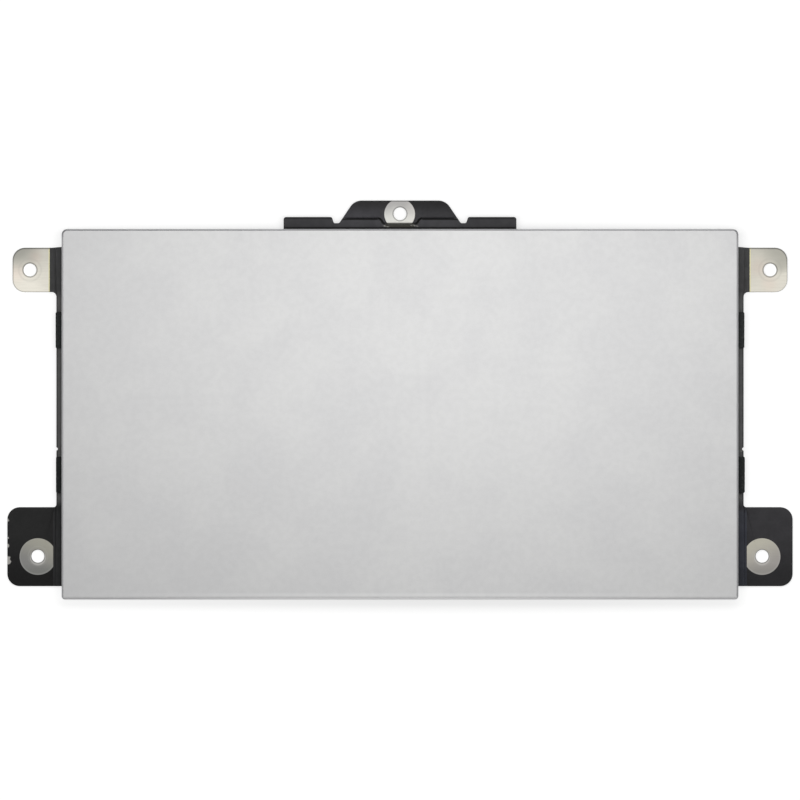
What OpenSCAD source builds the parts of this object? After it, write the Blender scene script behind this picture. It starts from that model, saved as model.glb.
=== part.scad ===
// Laptop trackpad module: a glass touch plate that clicks on two leaf springs,
// in a stamped frame with screw ears.
// Millimetres. X runs to the right, Y to the rear, Z up out of the touch surface.
// The origin is the middle of the module's bounding box in X and Y, level with the underside of the ears.

/* [Touch surface] */
// Width of the touch surface
pad_w = 115; // [100:0.5:130]
// Depth of the touch surface, front to rear
pad_d = 63; // [58:0.5:72]
// Thickness of the cover glass
glass_t = 0.7; // [0.5:0.05:1.1]
// Radius of the rear corners of the glass
glass_rear_r = 1; // [0.4:0.1:3]
// Radius of the front corners of the glass
glass_front_r = 0.6; // [0.4:0.1:3]
// Width of the ground chamfer round the top of the glass
glass_chamfer = 0.3; // [0.1:0.05:0.35]

/* [Layers under the glass] */
// Thickness of the adhesive sheet between glass and board
glass_tape_t = 0.1; // [0.05:0.01:0.2]
// Thickness of the sensor board
board_t = 0.8; // [0.5:0.1:1.2]
// How far the board stays inside the edge of the glass
board_inset = 0.3; // [0.1:0.1:0.8]
// Radius of the corners of the board and its adhesive sheet
board_r = 0.6; // [0.2:0.1:2]
// Thickness of the tape between board and carrier plate
carrier_tape_t = 0.05; // [0.03:0.01:0.15]
// Thickness of the steel carrier plate
carrier_t = 0.3; // [0.25:0.05:0.5]
// How far the carrier plate stays inside the edge of the board
carrier_inset = 1.2; // [0.8:0.1:2]
// Radius of the corners of the carrier plate
carrier_r = 2; // [0.5:0.1:3]

/* [Support frame] */
// Thickness of the frame's steel sheet
sheet_t = 0.5; // [0.4:0.05:0.8]
// How far the side rails stand out past the glass
rail_out = 0.95; // [0.6:0.05:1.5]
// Width of the side rails
rail_w = 8.5; // [6:0.5:12]
// Depth of the front beam
beam_d = 9; // [8.5:0.5:12]
// Clear width between the two ribs
rib_gap = 30; // [26:0.5:40]
// Width of each rib
rib_w = 4; // [3:0.5:6]
// Radius of the corners of the frame's windows
window_r = 2; // [1:0.5:4]
// Width of the pressed stiffening beads
bead_w = 1.2; // [0.8:0.1:2]
// Height of the pressed stiffening beads
bead_h = 0.2; // [0.1:0.05:0.25]
// Radius of the small die nick in each side rail
nick_r = 0.25; // [0.1:0.05:0.4]
// Distance of the nick in front of the middle of the touch surface
nick_forward = 5.9; // [3:0.1:6.5]

/* [Screw ears] */
// How far the ears are folded down below the frame
ear_drop = 0.3; // [0.1:0.05:0.5]
// Run of the fold from the frame down to the ears
ear_fold_run = 0.3; // [0.2:0.05:0.5]
// Distance of the fold line out from the edge of the side rails
ear_fold_out = 0.05; // [0.02:0.01:0.2]
// Diameter of the screw holes, a close fit for an M2 screw
screw_d = 2.2; // [1.8:0.1:2.6]
// Distance of the rear ears' holes out from the side of the glass
rear_hole_out = 5.45; // [4:0.05:8]
// Distance of the rear ears' holes in front of the rear edge of the glass
rear_hole_forward = 6.95; // [6:0.05:9]
// Width of the rear ears and of the rear rail between them
rear_ear_w = 7.55; // [7:0.05:9]
// Distance from the rear ears' holes to their outer ends
rear_ear_end = 2.95; // [2.2:0.05:5]
// Radius of the rear ears' outer corners
rear_ear_r = 2.1; // [0.5:0.1:2.8]
// Radius of the corner between a rear ear and its rail
rear_ear_fillet = 0.8; // [0.3:0.1:1.5]
// How much the rear edge of a rear ear widens at the glass
rear_ear_flare = 0.15; // [0.05:0.05:0.5]
// Distance of the front ears' holes out from the side of the glass
front_hole_out = 4.1; // [3.5:0.05:7]
// Distance of the front ears' front edge behind the front edge of the glass
front_ear_back = 2.25; // [1.5:0.05:4]
// Distance of the front ears' holes behind the ears' front edge
front_hole_back = 5.1; // [3:0.05:7]
// Length of the front ears, front to rear
front_ear_l = 13.45; // [11:0.05:16]
// Distance from the front ears' holes to their outer ends
front_ear_end = 5.2; // [3:0.05:7]
// Radius of the front ears' outer corners
front_ear_r = 2.1; // [0.5:0.1:3]
// Radius of the corner between a front ear and its rail
front_ear_fillet = 0.5; // [0.3:0.1:1.5]

/* [Rear bracket] */
// Thickness of the bracket's steel sheet
bracket_t = 0.5; // [0.4:0.05:0.7]
// Reach of the middle tab past the rear edge of the glass
tab_reach = 4.85; // [4.4:0.05:7]
// Distance of the tab's hole behind the rear edge of the glass
tab_hole_back = 2.6; // [2.3:0.05:3]
// Width of the tab's rear edge, measured between its sharp corners
tab_w = 15.5; // [12:0.1:17]
// Lean of the tab's sides
tab_lean = 34; // [20:1:38]
// Radius of the tab's rear corners
tab_r = 2.3; // [0.5:0.1:3]
// Reach of the flange past the rear edge of the glass
flange_reach = 2.05; // [1.7:0.05:2.3]
// Width of the flange
flange_w = 39.6; // [34:0.2:50]
// Radius of the flange's outer corners
flange_r = 0.45; // [0.2:0.05:0.8]
// Width of the notch at each side of the tab
notch_w = 0.9; // [0.7:0.05:1.5]
// Reach of the bottom of the notches past the rear edge of the glass
notch_reach = 1; // [0.6:0.05:1.2]
// Reach of the fold line past the rear edge of the glass
fold_reach = 1.7; // [1.5:0.05:2]
// Run of the fold from the flange down to the tab
fold_run = 0.3; // [0.15:0.05:0.5]
// Width of the dip in the fold line at the tab's hole
dip_w = 5.9; // [4.5:0.1:8]
// Depth of the dip in the fold line
dip_d = 0.95; // [0.6:0.05:1.1]
// Run of the dip's sloping sides
dip_run = 0.5; // [0.4:0.05:1]
// Radius of the bends in the fold line
dip_r = 0.7; // [0.5:0.05:0.8]
// How far the bracket's base runs past the leaf springs at each end
base_margin = 3; // [2:0.5:8]
// Depth of the bracket's base, front to rear
base_d = 3.2; // [3:0.1:3.6]
// How far the base stays inside the rear edge of the rail
base_inset = 0.15; // [0.05:0.05:0.5]

/* [Leaf springs] */
// Thickness of the spring steel
leaf_t = 0.15; // [0.1:0.01:0.25]
// Distance of each leaf spring from the middle
leaf_x = 32; // [26:0.5:33]
// Width of a leaf spring at its two ends
leaf_w = 10; // [9:0.5:12]
// Width of the neck that bends
neck_w = 7; // [5:0.5:8]
// Free length of the neck
neck_l = 5; // [4:0.1:5.5]
// Length of the end that is welded under the carrier plate
weld_l = 4; // [3:0.1:5]
// Radius of the leaf springs' corners
leaf_r = 0.6; // [0.2:0.1:1]
// Diameter of the rivets' shanks
rivet_d = 1.4; // [1:0.1:1.6]
// Diameter of the rivets' heads
rivet_head_d = 2.4; // [2:0.1:2.6]
// Height of the rivets' heads
rivet_head_h = 0.18; // [0.1:0.02:0.25]
// Depth of the countersinks that take the rivets' tails
rivet_sink = 0.35; // [0.2:0.05:0.35]
// Distance between the two rivets of a leaf spring
rivet_gap = 5.6; // [4:0.1:6]

/* [Dampers and stops] */
// Length of each foam damper on the side rails
damper_l = 6.2; // [4:0.1:9]
// Distance of the rear dampers behind the middle of the touch surface
damper_rear = 14.3; // [10:0.1:15.5]
// Distance of the front dampers in front of the middle of the touch surface
damper_front = 10.3; // [10.2:0.1:12]
// How far the dampers stand out past the rails
damper_out = 0.15; // [0.05:0.05:0.3]
// Free height between the dampers and the board
damper_gap = 0.3; // [0.25:0.05:0.5]
// Gap between the dampers and the side of the carrier plate
damper_clear = 0.3; // [0.2:0.05:0.5]
// Radius of the dampers' corners
damper_r = 0.25; // [0.1:0.05:0.5]
// Diameter of the rubber down stops on the front beam
stop_d = 4; // [2.5:0.5:6]
// Height of the rubber down stops
stop_h = 0.3; // [0.2:0.05:0.35]
// Distance of each down stop from the middle
stop_x = 40; // [34:1:44]

/* [Click switch] */
// Width of the switch
switch_w = 4.6; // [4.2:0.1:5.4]
// Depth of the switch, front to rear
switch_d = 3.6; // [3.5:0.1:4.6]
// Distance of the switch behind the front edge of the glass
switch_back = 7.5; // [6.5:0.1:8]
// Thickness of the floor of the switch's base
switch_floor = 0.1; // [0.08:0.01:0.15]
// Diameter of the round well that holds the dome
well_d = 3; // [2.8:0.1:3.2]
// Diameter of the snap dome
dome_d = 2.8; // [2.5:0.1:2.9]
// Rise of the snap dome
dome_rise = 0.26; // [0.2:0.01:0.28]
// Thickness of the snap dome
dome_t = 0.05; // [0.04:0.01:0.06]
// Free play between the dome and the plunger
dome_play = 0.01; // [0.01:0.01:0.03]
// Diameter of the plunger's flange, inside the switch
plunger_flange_d = 2.2; // [2.1:0.1:2.5]
// Thickness of the plunger's flange
plunger_flange_t = 0.1; // [0.08:0.01:0.14]
// Diameter of the plunger's nub, which comes out of the cover
nub_d = 1.7; // [1.4:0.1:1.8]
// Thickness of the switch's steel cover
cover_t = 0.09; // [0.06:0.01:0.12]
// Length that the nub still stands out when it is pressed home
nub_reserve = 0.03; // [0.02:0.01:0.06]
// Gap between the nub and the frame's boss at rest
press_gap = 0.03; // [0.02:0.01:0.06]
// Diameter of the frame's boss under the switch
boss_d = 2.6; // [2.2:0.1:3.2]

/* [Cable socket] */
// Number of contacts
pin_count = 8; // [6:1:10]
// Pitch of the contacts
pin_pitch = 0.5; // [0.5:0.05:0.6]
// Width of each contact
pin_w = 0.2; // [0.15:0.01:0.25]
// Thickness of the flat cable that the socket takes
cable_t = 0.3; // [0.2:0.05:0.35]
// Thickness of the socket's end walls
socket_wall = 1.1; // [0.9:0.1:1.4]
// Depth of the socket, mouth to back
socket_d = 4; // [3.8:0.1:4.6]
// Thickness of the floor under the cable
socket_floor = 0.2; // [0.15:0.05:0.25]
// Thickness of the flip latch
latch_t = 0.38; // [0.3:0.02:0.44]
// Length of the flip latch from its pivot to its free edge
latch_l = 1.9; // [1.6:0.05:2]
// Diameter of the latch's pivots
pivot_d = 0.4; // [0.3:0.05:0.5]
// Length of each pivot in its end wall
pivot_l = 0.5; // [0.3:0.05:0.7]
// Distance of the socket from the middle, to the left
socket_left = 5; // [4:0.5:7]
// Distance of the socket behind the middle of the touch surface
socket_back = 9.5; // [9:0.5:11]

/* [Touch controller] */
// Width of the controller chip
chip_w = 7; // [5:0.5:8]
// Thickness of the controller chip
chip_t = 0.75; // [0.5:0.05:0.8]
// Distance of the controller from the middle, to the right
chip_right = 3; // [0:0.5:6]
// Distance of the controller in front of the middle of the touch surface
chip_forward = 3; // [2.5:0.5:6]
// Length of a chip capacitor or resistor
passive_l = 1; // [0.8:0.1:1.1]
// Width of a chip capacitor or resistor
passive_w = 0.5; // [0.4:0.05:0.6]
// Height of a chip capacitor
capacitor_h = 0.5; // [0.3:0.05:0.6]
// Height of a chip resistor
resistor_h = 0.35; // [0.25:0.05:0.45]

/* [Clearances] */
// Radial clearance of a pin or plunger that moves in its hole
run_clear = 0.04; // [0.02:0.01:0.06]
// Clearance round the cable and the latch in the socket
slot_clear = 0.05; // [0.04:0.01:0.07]
// Margin between a component and the edge of its window in the carrier plate
part_margin = 1.2; // [0.8:0.1:1.4]

/* [Hidden] */
$fn = 64;
arc_steps = 8;
past = 1; // how far a cutting shape runs past the face that it cuts

// Plan: the edges of the glass, and what is set out from them
pad_y = -tab_reach / 2;
side_x = pad_w / 2;
rear_y = pad_y + pad_d / 2;
front_y = pad_y - pad_d / 2;
rail_x = side_x + rail_out;
rear_hole = [side_x + rear_hole_out, rear_y - rear_hole_forward];
rear_ear_x = rear_hole.x + rear_ear_end;
rear_ear_back = rear_hole.y + rear_ear_w / 2;
rear_ear_front = rear_hole.y - rear_ear_w / 2;
front_ear_front = front_y + front_ear_back;
front_hole = [side_x + front_hole_out, front_ear_front + front_hole_back];
front_ear_x = front_hole.x + front_ear_end;
front_ear_rear = front_ear_front + front_ear_l;
beam_rear = front_ear_front + beam_d;
beam_y = front_ear_front + beam_d / 2;
rib_x = rib_gap / 2 + rib_w / 2;
tab_hole = [0, rear_y + tab_hole_back];
base_x = leaf_x + leaf_w / 2 + base_margin;
base_rear = rear_ear_back - base_inset;
base_front = base_rear - base_d;
carrier_rear = base_front - neck_l;
leaf_front = carrier_rear - weld_l;
board_x = side_x - board_inset;
carrier_x = board_x - carrier_inset;
carrier_front = front_y + board_inset + carrier_inset;
rivet_y = (base_front + base_rear) / 2;
switch_at = [0, front_y + switch_back];
socket_at = [-socket_left, pad_y + socket_back];
chip_at = [chip_right, pad_y - chip_forward];

// Heights: the layers, counted up from the underside of the ears
frame_bottom = ear_drop;
frame_top = frame_bottom + sheet_t;
bracket_top = frame_top + bracket_t;
leaf_top = bracket_top + leaf_t;
tape_bottom = leaf_top + carrier_t;
board_bottom = tape_bottom + carrier_tape_t;
board_top = board_bottom + board_t;
glass_bottom = board_top + glass_tape_t;
glass_top = glass_bottom + glass_t;

// Click switch: its height, the plunger's stroke and the boss that the plunger meets
well_depth = dome_rise + dome_play + plunger_flange_t;
switch_base_h = switch_floor + well_depth;
switch_h = switch_base_h + cover_t;
stroke = dome_rise - dome_t;
nub_out = stroke + nub_reserve;
boss_h = board_bottom - frame_top - switch_h - nub_out - press_gap;
dome_sphere_r = dome_d * dome_d / (8 * dome_rise) + dome_rise / 2;
terminal_size = [0.5, 0.7, 0.12];
clip_size = [0.07, 1.2];

// Cable socket: the channel for the cable, and the latch over it
cable_w = (pin_count + 1) * pin_pitch;
channel_w = cable_w + 2 * slot_clear;
socket_w = channel_w + 2 * socket_wall;
channel_top = socket_floor + cable_t + slot_clear;
latch_bottom = channel_top + slot_clear;
pivot_z = latch_bottom + latch_t / 2;
socket_h = latch_bottom + latch_t;
pivot_y = socket_d / 2 - latch_l - slot_clear;
latch_back = pivot_y - latch_t / 2 - slot_clear;
cable_stop = 1; // wall between the end of the cable channel and the back of the socket
tail_l = 0.5;
tail_t = 0.12;
beam_rise = 0.12; // how far a contact's beam rises into the cable channel
anchor_size = [0.45, 1.4, 0.6];

// Windows in the carrier plate round the components
chip_window = chip_w + 2 * (passive_l + part_margin);
socket_window = [socket_w + 2 * (passive_w + part_margin), socket_d + 2 * part_margin + 2 * tail_l];
switch_window_w = switch_w + 2 * (terminal_size.x + part_margin);
switch_window_rear = switch_at.y + switch_d / 2 + part_margin;
capacitors_per_side = 3;
capacitor_pitch = chip_w / capacitors_per_side;
capacitor_out = chip_w / 2 + part_margin / 2 + passive_l / 2;
resistor_out = socket_w / 2 + anchor_size.x + part_margin / 2;

// Unit vector along v
function unit(v) = v / norm(v);

// Points of the arc of radius r that rounds the corner at b, between its neighbours a and c
function corner_arc(a, b, c, r) =
    let (u = unit(a - b), v = unit(c - b), half = acos(u * v) / 2)
    let (centre = b + unit(u + v) * r / sin(half))
    let (p = b + u * r / tan(half) - centre, q = b + v * r / tan(half) - centre)
    let (start = atan2(p.y, p.x), turn = atan2(q.y, q.x) - start)
    let (sweep = turn > 180 ? turn - 360 : turn < -180 ? turn + 360 : turn)
    [for (i = [0:arc_steps])
        let (angle = start + sweep * i / arc_steps)
        centre + r * [cos(angle), sin(angle)]];

// Outline through corners given as [x, y, radius]
function rounded(corners) =
    let (n = len(corners), at = [for (c = corners) [c.x, c.y]])
    [for (i = [0:n - 1])
        let (a = at[(i + n - 1) % n], b = at[i], c = at[(i + 1) % n], r = corners[i].z)
        each r > 0 ? corner_arc(a, b, c, r) : [b]];

// Open path through the given points, with its inner corners rounded to radius r
function rounded_path(at, r) =
    let (last = len(at) - 1)
    let (bends = [for (i = [1:last - 1]) each corner_arc(at[i - 1], at[i], at[i + 1], r)])
    concat([at[0]], bends, [at[last]]);

// Corners of a shape that is the same on both sides of the Y axis, from those of its right half
function both_sides(half) =
    concat(half, [for (i = [len(half) - 1:-1:0]) [-half[i].x, half[i].y, half[i].z]]);

// Corners of a rectangle with rounded corners
function box_corners(left, right, front, rear, r) =
    [[left, front, r], [right, front, r], [right, rear, r], [left, rear, r]];

// A path moved sideways by d, to its left, with mitred corners
function beside(path, d) =
    let (last = len(path) - 1)
    [for (i = [0:last])
        let (k = max(i, 1), m = min(i, last - 1))
        let (before = unit(path[k] - path[k - 1]), after = unit(path[m + 1] - path[m]))
        let (side = [-after.y, after.x], mitre = unit(side + [-before.y, before.x]))
        path[i] + mitre * d / (mitre * side)];

// A flat plate of thickness t on height z, with the given outline
module plate(outline, z, t) {
    translate([0, 0, z]) linear_extrude(t) polygon(outline);
}

// The children, and their mirror image across the Y axis
module left_and_right() {
    children();
    mirror([1, 0, 0]) children();
}

// The children on the underside of the board at a place in plan, with their own Z pointing down
module on_board(at) {
    translate([at.x, at.y, board_bottom]) mirror([0, 0, 1]) children();
}

// The two rivet positions of the leaf spring on the right
module rivet_places() {
    for (side = [-1, 1]) translate([leaf_x + side * rivet_gap / 2, rivet_y, 0]) children();
}

// A pressed bead along X or Y: the part of a round bar that stands above z = 0
module bead(length, turn) {
    bar_r = bead_w * bead_w / (8 * bead_h) + bead_h / 2;
    straight = length - bead_w;
    rotate([0, 0, turn]) intersection() {
        translate([0, 0, bead_h - bar_r]) {
            translate([-straight / 2, 0, 0]) rotate([0, 90, 0]) cylinder(r = bar_r, h = straight);
            for (end = [-1, 1]) translate([end * straight / 2, 0, 0]) sphere(r = bar_r);
        }
        translate([-length / 2, -bead_w / 2, 0]) cube([length, bead_w, bead_h + past]);
    }
}

// Support frame: one stamped sheet with four ears folded down for the screws,
// three windows, pressed beads and the boss under the switch
frame_corners = both_sides([
    [side_x, rear_ear_back + rear_ear_flare, 0],
    [rail_x + rear_ear_fillet, rear_ear_back, 0],
    [rear_ear_x, rear_ear_back, rear_ear_r],
    [rear_ear_x, rear_ear_front, rear_ear_r],
    [rail_x, rear_ear_front, rear_ear_fillet],
    [rail_x, front_ear_rear, front_ear_fillet],
    [front_ear_x, front_ear_rear, front_ear_r],
    [front_ear_x, front_ear_front, front_ear_r]
]);
side_window = box_corners(rib_x + rib_w / 2, rail_x - rail_w, beam_rear, rear_ear_front, window_r);
middle_window = box_corners(-rib_gap / 2, rib_gap / 2, beam_rear, rear_ear_front, window_r);
beam_bead_l = stop_x - stop_d / 2 - boss_d - 2 * bead_w;
beam_bead_x = boss_d + bead_w + beam_bead_l / 2;
rib_bead_l = rear_ear_front - beam_rear - 2 * bead_w;
rib_bead_y = (rear_ear_front + beam_rear) / 2;

module frame_beads() {
    left_and_right() {
        translate([beam_bead_x, beam_y, 0]) bead(beam_bead_l, 0);
        translate([rib_x, rib_bead_y, 0]) bead(rib_bead_l, 90);
    }
}

// The pressed boss that the switch's plunger meets, standing on z = 0
module switch_boss() {
    translate(switch_at) cylinder(d1 = boss_d, d2 = boss_d - 2 * boss_h, h = boss_h);
}

ear_fold_x = rail_x + ear_fold_out;
ear_fold_shift = sheet_t * tan(atan2(ear_drop, ear_fold_run) / 2);
ear_fold_section = [
    [ear_fold_x, frame_top],
    [ear_fold_x + ear_fold_run, sheet_t],
    [ear_fold_x + ear_fold_run - ear_fold_shift, 0],
    [ear_fold_x - ear_fold_shift, frame_bottom]
];
through = frame_top + 2 * past;

// The sheet with its ears folded down: the flat middle, the flat ears, and the sloping strips between them
module folded_sheet() {
    ear_start = ear_fold_x + ear_fold_run - ear_fold_shift;
    translate([0, 0, frame_bottom]) linear_extrude(sheet_t) intersection() {
        polygon(rounded(frame_corners));
        square([2 * ear_fold_x, 2 * pad_d], center = true);
    }
    linear_extrude(sheet_t) difference() {
        polygon(rounded(frame_corners));
        square([2 * ear_start, 2 * pad_d], center = true);
    }
    intersection() {
        left_and_right() translate([0, pad_d, 0]) rotate([90, 0, 0])
            linear_extrude(2 * pad_d) polygon(ear_fold_section);
        plate(rounded(frame_corners), -past, through);
    }
}

module support_frame() {
    color([0.17, 0.17, 0.18]) difference() {
        union() {
            folded_sheet();
            translate([0, 0, frame_top]) frame_beads();
            translate([0, 0, frame_top]) switch_boss();
        }
        plate(rounded(middle_window), -past, through);
        left_and_right() {
            plate(rounded(side_window), -past, through);
            for (hole = [rear_hole, front_hole])
                translate([hole.x, hole.y, -past]) cylinder(d = screw_d, h = through);
            rivet_places() rivet_room();
            translate([rail_x, pad_y - nick_forward, -past]) cylinder(r = nick_r, h = through);
        }
        translate([0, 0, frame_bottom]) frame_beads();
        translate([0, 0, frame_bottom]) switch_boss();
    }
}

// Rear bracket: base on the rear rail, flange behind the glass,
// and a tab folded down to the level of the ears
tab_foot_x = tab_w / 2 + (tab_reach - notch_reach) * tan(tab_lean);
notch_x = tab_foot_x + notch_w / 2;
notch_top_x = tab_foot_x + notch_w + (flange_reach - notch_reach) / 3;
notch_r = notch_w / 2.5;
bracket_corners = both_sides([
    [tab_w / 2, rear_y + tab_reach, tab_r],
    [tab_foot_x, rear_y + notch_reach, notch_r],
    [tab_foot_x + notch_w, rear_y + notch_reach, notch_r],
    [notch_top_x, rear_y + flange_reach, notch_r],
    [flange_w / 2, rear_y + flange_reach, flange_r],
    [flange_w / 2, base_rear, flange_r],
    [base_x, base_rear, flange_r],
    [base_x, base_front, flange_r]
]);
fold_y = rear_y + fold_reach;
fold_path = rounded_path([
    [-notch_x, fold_y],
    [-dip_w / 2 - dip_run, fold_y],
    [-dip_w / 2, fold_y - dip_d],
    [dip_w / 2, fold_y - dip_d],
    [dip_w / 2 + dip_run, fold_y],
    [notch_x, fold_y]
], dip_r);
tab_drop = bracket_top - bracket_t;
fold_angle = atan2(tab_drop, fold_run);
fold_shift = bracket_t * tan(fold_angle / 2);
// The fold's cross-section, as [distance behind the fold line, height]
fold_section = [
    [0, bracket_top],
    [fold_run, bracket_top - tab_drop],
    [fold_run - fold_shift, bracket_top - tab_drop - bracket_t],
    [-fold_shift, bracket_top - bracket_t]
];

// The area behind the fold line moved back by d, between the two notches
module tab_area(d) {
    behind_y = rear_y + tab_reach + past;
    polygon(concat(beside(fold_path, d), [[notch_x, behind_y], [-notch_x, behind_y]]));
}

// The sloping strip of sheet between flange and tab, swept along the fold line
module fold_strip() {
    n = len(fold_path);
    lines = [for (s = fold_section) beside(fold_path, s[0])];
    points = [for (i = [0:n - 1]) for (j = [0:3]) [lines[j][i].x, lines[j][i].y, fold_section[j][1]]];
    sides = [for (i = [0:n - 2]) for (j = [0:3])
        [4 * i + j, 4 * i + (j + 1) % 4, 4 * i + 4 + (j + 1) % 4, 4 * i + 4 + j]];
    polyhedron(points, concat([[0, 3, 2, 1]], sides, [[for (j = [0:3]) 4 * n - 4 + j]]));
}

module rear_bracket() {
    color([0.19, 0.19, 0.2]) difference() {
        union() {
            translate([0, 0, bracket_top - bracket_t]) linear_extrude(bracket_t) difference() {
                polygon(rounded(bracket_corners));
                tab_area(0);
            }
            translate([0, 0, bracket_top - tab_drop - bracket_t]) linear_extrude(bracket_t) intersection() {
                polygon(rounded(bracket_corners));
                tab_area(fold_run - fold_shift);
            }
            intersection() {
                fold_strip();
                plate(rounded(bracket_corners), -past, bracket_top + 2 * past);
            }
        }
        translate([tab_hole.x, tab_hole.y, -past]) cylinder(d = screw_d, h = bracket_top + 2 * past);
        left_and_right() rivet_places() rivet_room();
    }
}

// Leaf springs: the rear end is riveted on the bracket, the neck bends,
// and the front end is welded under the carrier plate
leaf_corners = [
    [leaf_x - leaf_w / 2, leaf_front, leaf_r],
    [leaf_x + leaf_w / 2, leaf_front, leaf_r],
    [leaf_x + leaf_w / 2, carrier_rear, leaf_r],
    [leaf_x + neck_w / 2, carrier_rear, leaf_r],
    [leaf_x + neck_w / 2, base_front, leaf_r],
    [leaf_x + leaf_w / 2, base_front, leaf_r],
    [leaf_x + leaf_w / 2, base_rear, leaf_r],
    [leaf_x - leaf_w / 2, base_rear, leaf_r],
    [leaf_x - leaf_w / 2, base_front, leaf_r],
    [leaf_x - neck_w / 2, base_front, leaf_r],
    [leaf_x - neck_w / 2, carrier_rear, leaf_r],
    [leaf_x - leaf_w / 2, carrier_rear, leaf_r]
];

module hinge_leaf() {
    color([0.72, 0.72, 0.7]) difference() {
        plate(rounded(leaf_corners), bracket_top, leaf_t);
        rivet_places() rivet_room();
    }
}

// Rivets: a low head on the leaf, a shank through leaf, bracket and rail,
// and a tail that lies flush in the rail's countersink
module rivet_room() {
    translate([0, 0, frame_bottom]) {
        cylinder(d1 = rivet_d + 2 * rivet_sink, d2 = rivet_d, h = rivet_sink);
        cylinder(d = rivet_d, h = leaf_top - frame_bottom);
    }
}

module hinge_rivets() {
    color([0.66, 0.66, 0.64]) left_and_right() rivet_places() {
        rivet_room();
        translate([0, 0, leaf_top])
            cylinder(d1 = rivet_head_d, d2 = rivet_head_d - 2 * rivet_head_h, h = rivet_head_h);
    }
}

// Foam dampers: four strips on the side rails, under the overhang of the board
module side_dampers() {
    inner = carrier_x + damper_clear;
    outer = rail_x + damper_out;
    outline = rounded(box_corners(inner, outer, -damper_l / 2, damper_l / 2, damper_r));
    color([0.1, 0.1, 0.1]) left_and_right() for (y = [damper_rear, -damper_front])
        translate([0, pad_y + y, 0]) plate(outline, frame_top, board_bottom - frame_top - damper_gap);
}

// Down stops: two rubber buttons on the front beam that catch a hard press at a corner
module down_stop_pads() {
    color([0.13, 0.13, 0.13]) left_and_right() translate([stop_x, beam_y, frame_top])
        cylinder(d1 = stop_d, d2 = stop_d - stop_h, h = stop_h);
}

// Cover glass, with a ground chamfer round its top edge
function glass_corners(inset) = both_sides([
    [side_x - inset, rear_y - inset, glass_rear_r - inset],
    [side_x - inset, front_y + inset, glass_front_r - inset]
]);

module touch_glass() {
    slice = 0.01; // thin layer that starts the chamfer at its foot and ends it at the top
    color([0.84, 0.84, 0.84]) hull() {
        plate(rounded(glass_corners(0)), glass_bottom, glass_t - glass_chamfer);
        plate(rounded(glass_corners(glass_chamfer)), glass_top - slice, slice);
    }
}

// Sensor board, and the adhesive sheet of the same outline that holds the glass on it
board_corners = box_corners(-board_x, board_x, front_y + board_inset, rear_y - board_inset, board_r);

module glass_adhesive() {
    color([0.88, 0.87, 0.83]) plate(rounded(board_corners), board_top, glass_tape_t);
}

module sensor_board() {
    color([0.1, 0.22, 0.16]) plate(rounded(board_corners), board_bottom, board_t);
}

// Carrier plate that stiffens the board, and the tape of the same outline, open round the components
carrier_corners = [
    [carrier_x, carrier_rear, carrier_r],
    [carrier_x, carrier_front, carrier_r],
    [switch_window_w / 2, carrier_front, part_margin / 2],
    [switch_window_w / 2, switch_window_rear, part_margin / 2]
];

module carrier_outline() {
    difference() {
        polygon(rounded(both_sides(carrier_corners)));
        translate(chip_at) polygon(rounded(box_corners(-chip_window / 2, chip_window / 2,
            -chip_window / 2, chip_window / 2, part_margin)));
        translate(socket_at) polygon(rounded(box_corners(-socket_window.x / 2, socket_window.x / 2,
            -socket_window.y / 2, socket_window.y / 2, part_margin)));
    }
}

module carrier_tape() {
    color([0.2, 0.2, 0.2]) translate([0, 0, tape_bottom]) linear_extrude(carrier_tape_t) carrier_outline();
}

module carrier_plate() {
    color([0.62, 0.62, 0.61]) translate([0, 0, leaf_top]) linear_extrude(carrier_t) carrier_outline();
}

// Touch controller with its pin-one dimple, and the capacitors that stand round it
module touch_controller() {
    dimple_d = 0.6;
    dimple_h = 0.05;
    dimple_at = chip_w / 2 - dimple_d;
    color([0.12, 0.12, 0.13]) on_board(chip_at) difference() {
        translate([-chip_w / 2, -chip_w / 2, 0]) cube([chip_w, chip_w, chip_t]);
        translate([-dimple_at, dimple_at, chip_t - dimple_h]) cylinder(d = dimple_d, h = dimple_h + past);
    }
}

module chip_capacitors() {
    middle = (capacitors_per_side + 1) / 2;
    color([0.62, 0.5, 0.36]) on_board(chip_at) for (turn = [0:90:270], i = [1:capacitors_per_side])
        rotate([0, 0, turn]) translate([capacitor_out, (i - middle) * capacitor_pitch, capacitor_h / 2])
            cube([passive_l, passive_w, capacitor_h], center = true);
}

module chip_resistors() {
    color([0.14, 0.14, 0.15]) on_board(socket_at) for (side = [-1, 1], row = [-1, 1])
        translate([side * resistor_out, row * passive_l, resistor_h / 2])
            cube([passive_w, passive_l, resistor_h], center = true);
}

// Cable socket. In these modules Z points away from the board and the mouth faces the rear.
module pin_places() {
    for (i = [1:pin_count]) translate([(i - (pin_count + 1) / 2) * pin_pitch, 0, 0]) children();
}

// The shape of one contact, seen from its side, with its beam rising into the cable channel
beam_tip = socket_d / 2 - latch_l / 3;
contact_shape = [
    [-socket_d / 2 - tail_l, 0],
    [beam_tip, 0],
    [beam_tip, socket_floor],
    [(beam_tip + pivot_y) / 2, socket_floor + beam_rise],
    [pivot_y, socket_floor],
    [-socket_d / 2, socket_floor],
    [-socket_d / 2, tail_t],
    [-socket_d / 2 - tail_l, tail_t]
];

module along_x(width) {
    translate([-width / 2, 0, 0]) rotate([90, 0, 90]) linear_extrude(width) children();
}

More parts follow.
